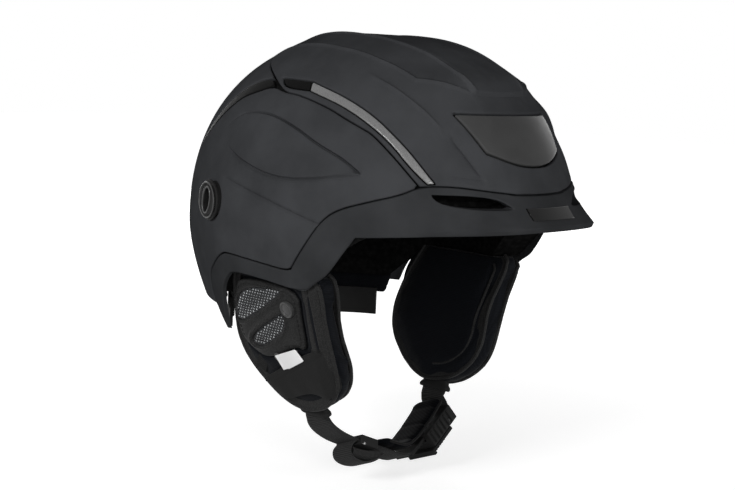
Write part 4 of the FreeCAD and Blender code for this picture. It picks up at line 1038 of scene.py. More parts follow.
# Features of the lower shell
VENT_RIM = 3.2
VENT_RIM_HEIGHT = 1.2
VENT_RIM_FADE = (24.5, 29.0)
VENT_ROUNDS = 3
VENT_CORNER = 70
TEMPLE_BEVEL = 8.0
TEMPLE_DEPTH = 2.0
TEMPLE_FRONT = (-84, -72)
TEMPLE_REAR = (22, 40)
FAR_OFF = 99.0


def build_lower():
    surface = grid(brow_radius, np.arange(44.0, -74.0, -1.5), 560)
    vent = front_outline(VENT_SHARES, VENT_ROUNDS, VENT_CORNER)
    other = vent * [-1, 1]

    def vent_field(points, normals):
        first = surface_distance(points, normals, vent, "front")
        second = surface_distance(points, normals, other, "front")
        return -np.where(points[:, 1] > 0, -NOWHERE, np.maximum(first, second))

    def lip_field(points, normals):
        angle = np.arctan2(points[:, 0], -points[:, 1])
        return points[:, 2] - under_height(angle, lip_radius(angle)) - BRIM_LIP

    edge = np.array(side_points(TEMPLE_EDGE))

    def temple_field(points, normals):
        best = np.full(len(points), FAR_OFF)
        flat = points[:, 1:3]
        for a, b in zip(edge, edge[1:]):
            way = b - a
            share = np.clip(((flat - a) @ way) / (way @ way), 0, 1)
            best = np.minimum(best, np.linalg.norm(flat - a - share[:, None] * way, axis=1))
        return best

    def lift(p, n, data):
        y, z = p[:, 1], p[:, 2]
        temple = -TEMPLE_DEPTH * np.clip(1 - data["c0"] / TEMPLE_BEVEL, 0, 1)
        temple = temple * ease(y, *TEMPLE_FRONT) * ease(-y, *TEMPLE_REAR)
        rim = VENT_RIM_HEIGHT * np.exp(-np.maximum(data["d1"], 0) / VENT_RIM) * ease(z, *VENT_RIM_FADE)
        return temple + rim

    def inner(p):
        angle = np.arctan2(p[:, 0], -p[:, 1])
        return on_circle(angle, dome_radius(angle, p[:, 2], SHELL_WALL), p[:, 2])

    made = skin(surface, [outline_domain(LOWER_SHARES), vent_field],
                [(temple_field, (TEMPLE_BEVEL,)), (lip_field, (0.0,))], lift, inner, radius=0.8)
    # The lower shell gets the darker copy of the shell's charcoal, as painted shade, in the shell's own slot
    skin_piece("lower_skin", made, "lower_charcoal_painted_shade", "lower_shell", slot="shell_charcoal")


build_crown()
build_rear()
build_sides()
build_lower()


# Soft pieces: closed forms swelled like filled covers, and what is sewn on them

PUFF_FRAMES = 20
PUFF_PRESSURE = 4.0
PUFF_QUALITY = 5
PUFF_SMOOTHING = 0.5
PUFF_SMOOTH_ROUNDS = 3
PUFF_FINER = 1


def weld_node(node):
    """A CAD solid's corners and triangles in millimetres."""
    mesh = frame["nodes"][node].data
    tris = np.empty(len(mesh.loop_triangles) * 3, np.int32)
    mesh.loop_triangles.foreach_get("vertices", tris)
    return weld(coordinates(mesh) / MM, tris.reshape(-1, 3))


def drawn_in(points, tris, shrink):
    """Moves each point inwards along its faces' mean normal."""
    a, b, c = points[tris[:, 0]], points[tris[:, 1]], points[tris[:, 2]]
    normals = np.cross(b - a, c - a)
    normals /= np.maximum(np.linalg.norm(normals, axis=1, keepdims=True), 1e-9)
    sums = np.zeros_like(points)
    for corner in range(3):
        np.add.at(sums, tris[:, corner], normals)
    sums /= np.maximum(np.linalg.norm(sums, axis=1, keepdims=True), 1e-9)
    return points - sums * shrink


def bake(piece):
    """Replaces the piece's mesh by the one its modifiers make."""
    shown = piece.evaluated_get(bpy.context.evaluated_depsgraph_get())
    mesh = bpy.data.meshes.new_from_object(shown)
    old = piece.data
    piece.modifiers.clear()
    piece.data = mesh
    bpy.data.meshes.remove(old)


def coordinates(mesh):
    points = np.empty(len(mesh.vertices) * 3)
    mesh.vertices.foreach_get("co", points)
    return points.reshape(-1, 3)


def puff(name, points, tris, voxel, cap, shrink=0.8):
    """Swells a closed form by a cloth simulation and returns its points and four-sided faces."""
    tris = outward(points, tris)
    piece = new_object(name, mesh_of(name, drawn_in(points, tris, shrink), tris))
    even = piece.modifiers.new("even", "REMESH")
    even.mode = "VOXEL"
    even.voxel_size = voxel * MM
    bake(piece)
    before = coordinates(piece.data)
    cloth = piece.modifiers.new("cloth", "CLOTH")
    cloth.settings.quality = PUFF_QUALITY
    cloth.settings.use_pressure = True
    cloth.settings.uniform_pressure_force = PUFF_PRESSURE
    cloth.settings.effector_weights.gravity = 0
    cloth.point_cache.frame_start = 1
    cloth.point_cache.frame_end = PUFF_FRAMES
    for step in range(1, PUFF_FRAMES + 1):
        scene.frame_set(step)
    shown = piece.evaluated_get(bpy.context.evaluated_depsgraph_get())
    moved = coordinates(shown.data) - before
    piece.modifiers.clear()
    scene.frame_set(1)
    far = np.linalg.norm(moved, axis=1, keepdims=True)
    after = before + moved * np.minimum(1, cap * MM / np.maximum(far, 1e-9))
    piece.data.vertices.foreach_set("co", after.reshape(-1))
    piece.data.update()
    smooth = piece.modifiers.new("smooth", "SMOOTH")
    smooth.factor = PUFF_SMOOTHING
    smooth.iterations = PUFF_SMOOTH_ROUNDS
    finer = piece.modifiers.new("finer", "SUBSURF")
    finer.levels = PUFF_FINER
    finer.render_levels = PUFF_FINER
    bake(piece)
    mesh = piece.data
    points = coordinates(mesh) / MM
    faces = [tuple(face.vertices) for face in mesh.polygons]
    bpy.data.objects.remove(piece)
    bpy.data.meshes.remove(mesh)
    return points, faces


def soft_piece(name, points, faces, material, replaces=(), fill=0.6, slot=None):
    piece = new_object(name, mesh_of(name, points, faces, SOFT_SMOOTH_ANGLE))
    finish_piece(piece, material, body="helmet", replaces=replaces, slot=slot)


def loose_piece(name, points, faces, material, body="helmet", replaces=(), slot=None, smooth=SMOOTH_ANGLE):
    piece = new_object(name, mesh_of(name, points, faces, smooth))
    return finish_piece(piece, material, body=body, replaces=replaces, slot=slot)


def both_sides(points, faces):
    """The right side's form and its mirror image on the left."""
    return ("right", points, faces), ("left", points * [-1, 1, 1], [tuple(reversed(face)) for face in faces])


def both(name, points, faces, material, nodes=(), slot=None, smooth=SMOOTH_ANGLE):
    """The right piece and its mirror image, each in place of its own nodes."""
    return [loose_piece(name + "_" + side, at, way, material, slot=slot, smooth=smooth,
                        replaces=tuple(node + "_" + side for node in nodes))
            for side, at, way in both_sides(points, faces)]


def both_soft(name, points, faces, material, nodes, fill):
    for side, at, way in both_sides(points, faces):
        soft_piece(name + "_" + side, at, way, material, tuple(node + "_" + side for node in nodes), fill)


def cut_corners(path, rounds):
    """Rounds an open path of points by corner cutting."""
    path = np.asarray(path, float)
    for _ in range(rounds):
        first, last = path[:-1], path[1:]
        near = first * (1 - CORNER_CUT) + last * CORNER_CUT
        far = first * CORNER_CUT + last * (1 - CORNER_CUT)
        middle = np.stack([near, far], 1).reshape(len(first) * 2, -1)
        path = np.concatenate([path[:1], middle[1:-1], path[-1:]])
    return path


def lengths_along(path):
    return np.concatenate([[0], np.cumsum(np.linalg.norm(np.diff(path[:, :3], axis=0), axis=1))])


def along(path, step, closed=False):
    """Evenly spaced points on a path."""
    path = np.asarray(path, float)
    if closed:
        path = np.concatenate([path, path[:1]])
    lengths = lengths_along(path)
    count = max(2, int(round(lengths[-1] / step)))
    stations = np.linspace(0, lengths[-1], count + 1)
    if closed:
        stations = stations[:-1]
    return np.stack([np.interp(stations, lengths, path[:, k]) for k in range(path.shape[1])], 1)


def turns(count):
    return 2 * math.pi * np.arange(count) / count


def ring_strip(first, second, sides, shift=0):
    """Four-sided faces between two rings of points that start at the given numbers."""
    faces = []
    for j in range(sides):
        i = (j + 1) % sides
        faces.append((first + j, first + i, second + (i + shift) % sides, second + (j + shift) % sides))
    return faces


def ring_faces(rings, sides):
    """Faces between rings of points, with one face at either end."""
    faces = []
    for k in range(rings - 1):
        faces += ring_strip(k * sides, (k + 1) * sides, sides)
    return faces + [tuple(range(sides))[::-1], tuple(range((rings - 1) * sides, rings * sides))]


TUBE_SIDES = 8
TUBE_START = [0.31, 0.17, 0.93]


def tube(path, radius, sides=TUBE_SIDES, closed=False):
    """Points and faces of a cord of piping along a path."""
    path = np.asarray(path, float)
    if closed:
        ways = np.roll(path, -1, axis=0) - np.roll(path, 1, axis=0)
    else:
        ways = np.gradient(path, axis=0)
    ways /= np.linalg.norm(ways, axis=1, keepdims=True)
    normal = np.cross(ways[0], TUBE_START)
    turn = turns(sides)
    rings = []
    for place, way in zip(path, ways):
        normal = normal - way * (normal @ way)
        normal /= np.linalg.norm(normal)
        other = np.cross(way, normal)
        rings.append(place + radius * (np.outer(np.cos(turn), normal) + np.outer(np.sin(turn), other)))
    faces = ring_faces(len(rings), sides)
    if closed:
        shift = int(np.argmin(np.linalg.norm(rings[0] - rings[-1][0], axis=1)))
        faces = faces[:-2] + ring_strip((len(rings) - 1) * sides, 0, sides, shift)
    return np.concatenate(rings), faces


def joined(parts):
    """Several forms as one."""
    points, faces, total = [], [], 0
    for at, way in parts:
        points.append(np.asarray(at, float))
        faces += [tuple(int(k) + total for k in face) for face in way]
        total += len(at)
    return np.concatenate(points), faces


def turned(profile, sides=28):
    """A round form about the X axis from (height, radius) pairs, closed at both ends."""
    turn = turns(sides)
    points = [np.stack([np.full(sides, h), r * np.cos(turn), r * np.sin(turn)], 1) for h, r in profile]
    return np.concatenate(points), ring_faces(len(profile), sides)


# Ear pads. Their own frame has x inwards, y to the back and z up, from the top of the outer face

EAR_PLACE = (-95.0, 0.0, -28.0)
EAR_LEAN = math.radians(19.5)
EAR_DROP = 89.0
EAR_THICKNESS = 18.0
EAR_CEILING = -22.3
EAR_PAD_SHARES = [
    (-0.58, 0.12), (-0.56, -0.20), (-0.55, -0.45), (-0.57, -0.64), (-0.52, -0.81),
    (-0.38, -0.94), (-0.22, -1.00), (0.00, -1.00), (0.17, -0.89), (0.30, -0.76),
    (0.38, -0.63), (0.41, -0.50), (0.38, -0.34), (0.34, -0.16), (0.27, -0.02), (0.20, 0.12)]
EAR_COVER_SHARES = [
    (-0.375, -0.02), (-0.340, -0.28), (-0.330, -0.50), (-0.230, -0.475), (0.080, -0.635),
    (0.230, -0.590), (0.330, -0.500), (0.330, -0.320), (0.270, -0.120), (0.200, -0.02)]
NET_UPPER_SHARES = [(0.17, -0.08), (-0.22, -0.05), (-0.19, -0.10), (0.32, -0.41), (0.31, -0.25)]
NET_LOWER_SHARES = [(-0.21, -0.22), (-0.17, -0.37), (0.14, -0.56), (0.25, -0.49), (-0.13, -0.25)]
FRONT_CUSHION_SHARES = [
    (-0.395, 0.02), (-0.350, -0.28), (-0.335, -0.50), (-0.36, -0.62), (-0.545, -0.62), (-0.540, -0.45),
    (-0.548, -0.20), (-0.565, 0.02)]
SLEEVE_SHARES = [
    (-0.435, -0.455), (-0.120, -0.625), (0.185, -0.800), (0.035, -0.935), (-0.090, -0.900),
    (-0.225, -0.838), (-0.340, -0.815), (-0.455, -0.835), (-0.545, -0.780), (-0.548, -0.640),
    (-0.535, -0.510)]
TAG_SHARES = [(-0.01, -0.58), (-0.25, -0.48), (-0.31, -0.56), (-0.07, -0.69)]
SNAP_SHARES = (-0.26, -0.18)
SMALL_SNAP = (-1.5, -52.5)
ELASTIC = (17.5, -62.0)
ROUND_ALL = 180
ROUND_MOST = 75
ROUND_FEW = 30

# Body, the seam round its cover, and the sewn line near the front of its inner face
BODY_GROW = 1.4
BODY_BACK = 3.2
BODY_TRIM = 1.6
BODY_FLOOR = 2.3
HEM_FLOOR = 1.6
OUTER_HALF = 8
SEAM_DEPTH = 2.4
INNER_LINE_DEPTH = 1.3
INNER_LINE_PLACE = 9.0

# Piping and the welts behind it: level searched, depth and most change, for each of two rings
PIPING = 1.3
PIPING_RINGS = ((3.6, 3.0, 1.5), (14.6, 15.4, 4.0))
PIPING_TOP = 5.0
PIPING_SUNK = 0.4
FACE_PIPING = 0.9
FACE_PIPING_FRONT = -14
FACE_PIPING_INSET = 10.5
HUG_REACH = 2.0
HUG_TURN = 0.06
HUG_GROW = 1.5
HUG_KERNEL = 9
WELT_WIDTH = 6.0
WELT_SECTION = [(3.0, 0.5), (-3.0, 0.5), (-3.0, -0.5), (3.0, -0.5)]

# Cover, its window frames, and the net behind them
COVER_DEPTH = 1.7
COVER_CROWN = 2.0
COVER_SUNK = 0.3
COVER_EASE = 1.03
FRAME_RISE = 1.2
FRAME_PLACE = 1.7
FRAME_WIDTH = 1.1
NET_GROW = 1.4
NET_DEPTH = 0.9
NET_SUNK = 0.1
NET_CROWN = 0.5
STITCH_INSET = 2.2
STITCH_END = -44

# Front cushion and sleeve
CUSHION_CROWN = 2.6
CUSHION_DEPTH = 4.5
CUSHION_LINE_DEPTH = 1.5
SLEEVE_DEPTH = 1.3
SLEEVE_LIFT = 0.9
SLEEVE_CROWN = 1.6
SLEEVE_WRAP = 5.0
SLEEVE_AREA_EASE = 1.07

# Turned profiles as (height, radius) pairs, and the elastic's ribs
SNAP_PROFILE = [(0.6, 4.9), (-2.0, 5.3), (-2.9, 5.1), (-3.2, 4.5), (-2.9, 3.9), (-2.5, 3.6), (-2.9, 2.2),
                (-3.0, 0.8)]
SMALL_SNAP_PROFILE = [(1.6, 2.2), (-0.8, 2.4), (-1.4, 1.9), (-1.6, 0.8)]
ELASTIC_RIBS = 6
ELASTIC_PITCH = 1.7
ELASTIC_WAY = np.array([0.5, -0.86])
ELASTIC_HALF = np.array([3.6, 2.1])


def ear_world(points):
    points = np.asarray(points, float)
    s, c = math.sin(EAR_LEAN), math.cos(EAR_LEAN)
    x, y, z = points[:, 0], points[:, 1], points[:, 2]
    return np.stack([EAR_PLACE[0] + x * c - z * s, EAR_PLACE[1] + y, EAR_PLACE[2] + x * s + z * c], 1)


def ear_outline(shares, corner, rounds=2):
    return smooth_outline([(y * EAR_DROP, z * EAR_DROP) for y, z in shares], rounds, corner)


def flat_patch(outline, step, margin=2.0):
    """Flat grid in the plane x = 0 that covers an outline, facing -x."""
    low, high = outline.min(0) - margin, outline.max(0) + margin
    y = np.linspace(low[0], high[0], int((high[0] - low[0]) / step) + 2)
    z = np.linspace(high[1], low[1], int((high[1] - low[1]) / step) + 2)
    yy, zz = np.meshgrid(y, z)
    points = np.stack([np.zeros(yy.size), yy.reshape(-1), zz.reshape(-1)], 1)
    return points, np.tile([-1.0, 0.0, 0.0], (len(points), 1)), grid_faces(*yy.shape)


def flat_domain(outline, grow=0.0):
    return lambda points, normals: signed_distance(points[:, 1:3], outline)[0] + grow


def ear_skin(outline, domains, lift, depth, step, radius, follow=False):
    points, tris = skin(flat_patch(outline, step), domains, (), lift, depth=depth, radius=radius, follow=follow)
    return ear_world(points), [tuple(face) for face in outward(points, tris).tolist()]


def ear_line(path, depth):
    """A line in the pad's plane at a depth."""
    path = np.asarray(path, float)
    return np.stack([np.full(len(path), depth), path[:, 0], path[:, 1]], 1)


def cover_height(y, z, outline, windows):
    """How far the cover's outer face stands outwards of its seat."""
    flat = np.stack([y, z], 1)
    frame_rise = np.zeros(len(y))
    for window in windows:
        gap = -signed_distance(flat, window)[0]
        frame_rise = np.maximum(frame_rise, FRAME_RISE * bell(gap, FRAME_PLACE, FRAME_WIDTH))
    return swell(signed_distance(flat, outline)[0], COVER_CROWN, 5) + frame_rise


def hug(path, body, level, most):
    """Moves a ring's points onto a body's widest line near a level of x."""
    near = body[np.abs(body[:, 0] - level) < HUG_REACH][:, 1:3]
    middle = path.mean(0)
    away = near - middle
    angles, sizes = np.arctan2(away[:, 1], away[:, 0]), np.linalg.norm(away, axis=1)
    wanted = path - middle
    own = np.linalg.norm(wanted, axis=1)
    found = own.copy()
    for k, turn in enumerate(np.arctan2(wanted[:, 1], wanted[:, 0])):
        close = np.abs(np.angle(np.exp(1j * (angles - turn)))) < HUG_TURN
        if np.any(close):
            found[k] = sizes[close].max()
    found = np.clip(found, own - most, own + HUG_GROW)
    edge = HUG_KERNEL // 2
    found[edge:-edge] = np.convolve(found, np.ones(HUG_KERNEL) / HUG_KERNEL, "valid")
    return middle + wanted / own[:, None] * (found[:, None] - PIPING_SUNK)


def build_ear_body(outline, cover, sleeve):
    """A swelled form with the seam under the cover's edge drawn in. Returns it in its own frame."""
    base = skin(flat_patch(outline, 3.0), [flat_domain(outline, BODY_GROW)], (),
                lambda p, n, data: np.full(len(p), -BODY_BACK), depth=EAR_THICKNESS - BODY_TRIM, radius=2.0)
    points, faces = puff("ear_pad_form", *base, voxel=3.2, cap=3.0, shrink=0.4)
    flat = points[:, 1:3]
    edge = signed_distance(flat, cover)[0]
    points[:, 0] += ease(-points[:, 0], -9, -4) * SEAM_DEPTH * bell(edge, -0.4, 1.7)
    x = points[:, 0]
    x[:] = np.where((edge > -1.5) & (x < OUTER_HALF), np.maximum(x, BODY_FLOOR), x)
    hem = signed_distance(flat, sleeve)[0]
    x[:] = np.where((hem > -1) & (x < OUTER_HALF), np.maximum(x, HEM_FLOOR), x)
    local = points.copy()
    rim = signed_distance(flat, outline)[0]
    sewn = ease(x, 9, 14) * ease(-points[:, 1], 8, 20) * INNER_LINE_DEPTH
    points[:, 0] -= sewn * bell(rim, INNER_LINE_PLACE, 1.4)
    points = ear_world(points)
    points[:, 2] = np.minimum(points[:, 2], EAR_CEILING)
    both_soft("ear_pad_body", points, faces, "pad_fabric", ("ear_pad",), 0.7)
    return local


def build_ear_piping(outline, body):
    """Piping round the outer and inner edges, and along the inner face near the front."""
    ring = along(outline[outline[:, 1] < 7.0], 2.0)
    shown = ring[ring[:, 1] < PIPING_TOP]
    middle = shown.mean(0)
    pieces = []
    for level, place, most in PIPING_RINGS:
        line = hug(shown, body, level, most)
        pieces.append(tube(ear_line(line, place), PIPING))
        inwards = (line - middle) / -np.linalg.norm(line - middle, axis=1, keepdims=True)
        wide = np.concatenate([np.zeros((len(line), 1)), inwards], 1)
        pieces.append(band(ear_line(line + inwards * WELT_WIDTH / 2, place), wide, WELT_SECTION))
    face = shown[shown[:, 0] < FACE_PIPING_FRONT]
    inwards = (middle - face) / np.linalg.norm(middle - face, axis=1, keepdims=True)
    inset = face + inwards * FACE_PIPING_INSET
    pieces.append(tube(ear_line(inset, EAR_THICKNESS - PIPING_SUNK), FACE_PIPING))
    points, faces = joined(pieces)
    both("ear_piping", ear_world(points), faces, "pad_cover")


def build_ear_cover(cover, windows):
    """The cover with its two windows in raised frames."""
    def lift(p, n, data):
        return cover_height(p[:, 1], p[:, 2], cover, windows) - COVER_SUNK

    def outside_windows(points, normals):
        flat = points[:, 1:3]
        return -np.maximum(signed_distance(flat, windows[0])[0], signed_distance(flat, windows[1])[0])

    points, faces = ear_skin(cover, [flat_domain(cover), outside_windows], lift, COVER_DEPTH, 0.9, 0.6)
    covers = both("ear_cover_skin", points, faces, "pad_cover", ("ear_cover",))
    area = (polygon_area(cover) - sum(polygon_area(w) for w in windows)) * MM * MM
    np.ptp(cover, axis=0) * MM * COVER_EASE


def build_ear_stitches(cover, windows):
    seam = inset_line(cover, STITCH_INSET)
    seam = seam[(seam[:, 1] < 0) & (seam[:, 1] > STITCH_END)]
    heights = -(cover_height(seam[:, 0], seam[:, 1], cover, windows) - COVER_SUNK)
    points, faces = stitches(np.stack([heights - 0.1, seam[:, 0], seam[:, 1]], 1))
    both("ear_stitches", ear_world(points), faces, "sleeve_fabric")


def build_ear_nets(windows):
    """A dark knit behind the windows with rows of pale knots."""
    def lift(p, n, data):
        return np.full(len(p), -NET_SUNK) + NET_CROWN * np.clip(data["d0"] / 6, 0, 1)

    nets = [ear_skin(window, [flat_domain(window, NET_GROW)], lift, NET_DEPTH, 1.6, 0.3)
            for window in windows]
    made = both("ear_net_knit", *joined(nets), "net_grey", ("ear_net",))
    area = sum(polygon_area(w, NET_GROW) for w in windows) * MM * MM
    points, faces = joined([knot_rows(window) for window in windows])
    both("ear_net_knots", ear_world(points), faces, "net_dots", slot="net_grey", smooth=KNOT_SMOOTH_ANGLE)


def build_ear_cushion(cushion):
    """Front cushion between the cover and the piping, with a sewn line down it."""
    def lift(p, n, data):
        line = -39.5 - 0.035 * (p[:, 2] + 55)
        sewn = -CUSHION_LINE_DEPTH * bell(p[:, 1], line, 0.9)
        return swell(data["d0"], CUSHION_CROWN, 3.0) + sewn - CUSHION_CROWN

    points, faces = ear_skin(cushion, [flat_domain(cushion)], lift, CUSHION_DEPTH, 0.9, 0.8)
    both_soft("ear_front_cushion", points, faces, "pad_cover", (), 0.6)


def build_ear_sleeve(sleeve):
    """Sleeve over the lower end, tight along its hem and wrapped round the front edge."""
    def lift(p, n, data):
        y, z = p[:, 1], p[:, 2]
        hem = np.abs((z + 41.5) + (y + 38.5) * 0.545) / 1.14
        fold = 0.7 * bell(hem, 2.0, 1.1) - 0.5 * bell(hem, 4.4, 1.0)
        wrap = -SLEEVE_WRAP * np.clip((-38 - y) / 10.5, 0, 1) ** 2
        pull = 0.35 * np.sin((y * 0.62 - z * 0.35) * 0.55) * np.exp(-np.maximum(z + 88, 0) / 14)
        return SLEEVE_LIFT + swell(data["d0"], SLEEVE_CROWN, 7) + fold + wrap + pull

    points, faces = ear_skin(sleeve, [flat_domain(sleeve)], lift, SLEEVE_DEPTH, 1.0, 0.5, True)
    made = both("ear_sleeve_cloth", points, faces, "sleeve_fabric", ("ear_sleeve",))
    area = polygon_area(sleeve) * MM * MM * SLEEVE_AREA_EASE


def build_ear_trim():
    """Snap, small snap, ribbed elastic and the bare tag."""
    points, faces = turned(SNAP_PROFILE)
    snap_at = np.array([0.0, SNAP_SHARES[0] * EAR_DROP, SNAP_SHARES[1] * EAR_DROP])
    both("snap_cap", ear_world(points + snap_at), faces, "snap_grey", ("snap_button",), slot="gloss_black",
         smooth=SNAP_SMOOTH_ANGLE)
    points, faces = turned(SMALL_SNAP_PROFILE, 20)
    both("small_snap", ear_world(points + np.array([0.0, *SMALL_SNAP])), faces, "snap_grey", slot="gloss_black")
    ribs = []
    for k in range(ELASTIC_RIBS):
        at = np.array(ELASTIC) + (k - (ELASTIC_RIBS - 1) / 2) * ELASTIC_PITCH * ELASTIC_WAY
        ribs.append(tube(ear_line(along([at - ELASTIC_HALF, at + ELASTIC_HALF], 1.2), 1.8), 0.85))
    points, faces = joined(ribs)
    both("ear_elastic", ear_world(points), faces, "sleeve_fabric")

    def tag_lift(p, n, data):
        return 2.3 + 0.5 * np.sin((p[:, 1] + 28) * 0.2) - 0.02 * np.abs(p[:, 2] + 50)

    tag = ear_outline(TAG_SHARES, ROUND_FEW, 1)
    points, faces = ear_skin(tag, [flat_domain(tag)], tag_lift, 0.5, 1.0, 0.2, True)
    piece = loose_piece("tag_cloth", points, faces, "tag_white", replaces=("care_tag",))
    polygon_area(tag) * MM * MM


def build_ear_pads():
    outline, cover, upper, lower = [ear_outline(shares, ROUND_ALL) for shares in (
        EAR_PAD_SHARES, EAR_COVER_SHARES, NET_UPPER_SHARES, NET_LOWER_SHARES)]
    windows = [upper, lower]
    sleeve = ear_outline(SLEEVE_SHARES, ROUND_MOST)
    build_ear_piping(outline, build_ear_body(outline, cover, sleeve))
    build_ear_cover(cover, windows)
    build_ear_nets(windows)
    build_ear_cushion(ear_outline(FRONT_CUSHION_SHARES, ROUND_MOST))
    build_ear_sleeve(sleeve)
    build_ear_trim()
    build_ear_stitches(cover, windows)


def polygon_area(outline, grow=0.0):
    x, y = outline[:, 0], outline[:, 1]
    area = abs(np.sum(x * np.roll(y, -1) - y * np.roll(x, -1))) / 2
    around = np.linalg.norm(np.diff(np.concatenate([outline, outline[:1]]), axis=0), axis=1).sum()
    return area + grow * around


def inset_line(outline, depth):
    """Evenly spaced points that lie inside an outline by a depth."""
    ring = along(outline, 1.0, True)
    way = np.roll(ring, -1, axis=0) - np.roll(ring, 1, axis=0)
    normal = np.stack([-way[:, 1], way[:, 0]], 1) / np.linalg.norm(way, axis=1, keepdims=True)
    within = signed_distance(ring + normal * 0.5, outline)[0] > 0
    return ring + np.where(within[:, None], normal, -normal) * depth


STITCH_PITCH = 3.0
STITCH_LENGTH = 1.9
STITCH_RADIUS = 0.28
STITCH_SIDES = 5
STITCH_GAP = 1.5


def stitches(path):
    """Short threads one after another along a path."""
    line = along(path, STITCH_PITCH)
    made = []
    for a, b in zip(line, line[1:]):
        far = np.linalg.norm(b - a)
        if far > STITCH_PITCH * STITCH_GAP:
            continue
        way = (b - a) / far
        ends = [a + way * place / 2 for place in (far - STITCH_LENGTH, far, far + STITCH_LENGTH)]
        made.append(tube(ends, STITCH_RADIUS, STITCH_SIDES))
    return joined(made)


KNOT_ACROSS = 2.4
KNOT_DOWN = 1.95
KNOT_RADIUS = 0.78
KNOT_NECK = 0.62 * KNOT_RADIUS
KNOT_HALF_DEPTH = 0.35
KNOT_TIP = -0.55
KNOT_SIDES = 6
KNOT_FIRST_ROW = 1.3
KNOT_CLEARANCE = 1.0


def knot(y, z):
    """A small dome: a wide ring, a narrow one and a tip."""
    turn = turns(KNOT_SIDES)
    rings = [np.stack([np.full(KNOT_SIDES, depth), y + radius * np.cos(turn), z + radius * np.sin(turn)], 1)
             for depth, radius in ((KNOT_HALF_DEPTH, KNOT_RADIUS), (-KNOT_HALF_DEPTH, KNOT_NECK))]
    points = np.concatenate(rings + [[[KNOT_TIP, y, z]]])
    faces = ring_strip(0, KNOT_SIDES, KNOT_SIDES)
    for j in range(KNOT_SIDES):
        faces.append((KNOT_SIDES + j, KNOT_SIDES + (j + 1) % KNOT_SIDES, 2 * KNOT_SIDES))
    return points, faces + [tuple(range(KNOT_SIDES))[::-1]]


def knot_rows(window):
    """Knots in staggered rows inside a window."""
    low, high = window.min(0), window.max(0)
    made = []
    row = 0
    z = high[1] - KNOT_FIRST_ROW
    while z > low[1]:
        y = low[0] + (KNOT_ACROSS / 2 if row % 2 else 0)
        while y < high[0]:
            if signed_distance(np.array([[y, z]]), window)[0][0] > KNOT_CLEARANCE:
                made.append(knot(y, z))
            y += KNOT_ACROSS
        row += 1
        z -= KNOT_DOWN
    return joined(made)


# Comfort pads, neck rolls and the nape pad keep the solids' places and swell

def build_pads():
    for node, voxel, fill in (("brow_pad", 3.0, 0.6), ("side_pads", 3.0, 0.6), ("rear_pad", 3.0, 0.6),
                              ("crown_pad", 3.0, 0.6), ("nape_pad", 2.6, 0.7)):
        points, faces = puff(node + "_form", *weld_node(node), voxel, cap=2.0)
        soft_piece(node + "_soft", points, faces, "lining", (node,), fill)
    points, faces = puff("neck_roll_form", *weld_node("neck_roll_right"), voxel=1.8, cap=1.2, shrink=0.3)
    both_soft("neck_roll_soft", points, faces, "pad_fabric", ("neck_roll",), 0.7)


# Foam liner: a smooth dome with the head's cavity, and pockets behind the vents and ports

FOAM_INSET = 2.7
FOAM_BOTTOM = -50.0
FOAM_STEP = 2.6
FOAM_COLUMNS = 300
FOAM_ROUNDING = 2.0
CAVITY_HALF_WIDTH = 84.0
CAVITY_FRONT = 108.0
CAVITY_REAR = 104.0
CAVITY_HEIGHT = 92.0
CAVITY_TUCK = 0.2
POCKET_DEPTH = 9.0
FOAM_SHARES = [
    (-1.143, 0.107), (-0.843, 0.107), (-0.679, 0.083), (-0.571, 0.050), (-0.429, -0.083),
    (-0.343, -0.182), (0.214, -0.182), (0.300, -0.281), (0.393, -0.380), (1.143, -0.380),
    (1.143, 1.322), (-1.143, 1.322)]


def build_foam():
    surface = grid(lambda angle, z: dome_radius(angle, z, FOAM_INSET),
                   np.minimum(dome_levels(FOAM_BOTTOM, FOAM_STEP), SHELL_HEIGHT - FOAM_INSET), FOAM_COLUMNS)
    vent = front_outline(VENT_SHARES, VENT_ROUNDS, VENT_CORNER)

    def lift(p, n, data):
        front = np.where(p[:, 1] < 0, 1.0, 0.0)
        seen = p[:, [0, 2]]
        near = np.maximum(signed_distance(seen, vent)[0], signed_distance(seen * [-1, 1], vent)[0])
        ports = np.maximum(-port_distance(p, n), -port_distance(p * [-1, 1, 1], n))
        return -POCKET_DEPTH * ease(near, -2.0, 0.5) * front - POCKET_DEPTH * ease(ports, -1.0, 1.5)

    def inner(p):
        angle = np.arctan2(p[:, 0], -p[:, 1])
        z = np.where(p[:, 2] > 0, p[:, 2] * CAVITY_HEIGHT / (SHELL_HEIGHT - FOAM_INSET), p[:, 2])
        level = level_share(np.minimum(z, CAVITY_HEIGHT), CAVITY_HEIGHT, CAVITY_TUCK)
        return on_circle(angle, egg_radius(angle, CAVITY_HALF_WIDTH, CAVITY_FRONT, CAVITY_REAR) * level, z)

    made = skin(surface, [outline_domain(FOAM_SHARES, gap=0.0)], (), lift, inner, radius=FOAM_ROUNDING)
    skin_piece("foam_form", made, "foam", "foam_liner")


# Chin strap: ribbons, chin pad, keeper and buckle in a plane that leans forward

CHIN_LEAN = math.radians(21.8)
CHIN_Y = -14.0
CHIN_Z = -118.694
CHIN_X = 53.336
CHIN_SAG = 34.5
STRAP_ACROSS = [0, math.cos(CHIN_LEAN), -math.sin(CHIN_LEAN)]
STRAP_DEPTH = 9.0
STRAP_WIDTH = 20.0
STRAP_THICKNESS = 1.8
STRAP_STEP = 1.6
STRAP_ROUNDS = 3
BUCKLE_TURN = math.radians(30)
BUCKLE_PLACE_SHARES = (0.80, -0.60)
STRAP_RIGHT_SHARES = [(-1.00, 0.03), (-0.97, -0.10), (-0.90, -0.22), (-0.78, -0.36), (-0.63, -0.48),
                      (-0.07, -0.87), (0.08, -0.98)]
STRAP_LEFT_SHARES = [(1.00, 0.03), (0.99, -0.06), (1.03, -0.18)]
CHIN_PAD_SHARES = [(-0.20, -0.62), (-0.05, -0.72), (0.13, -0.82), (0.33, -0.72), (0.85, -0.21),
                   (0.91, -0.07)]
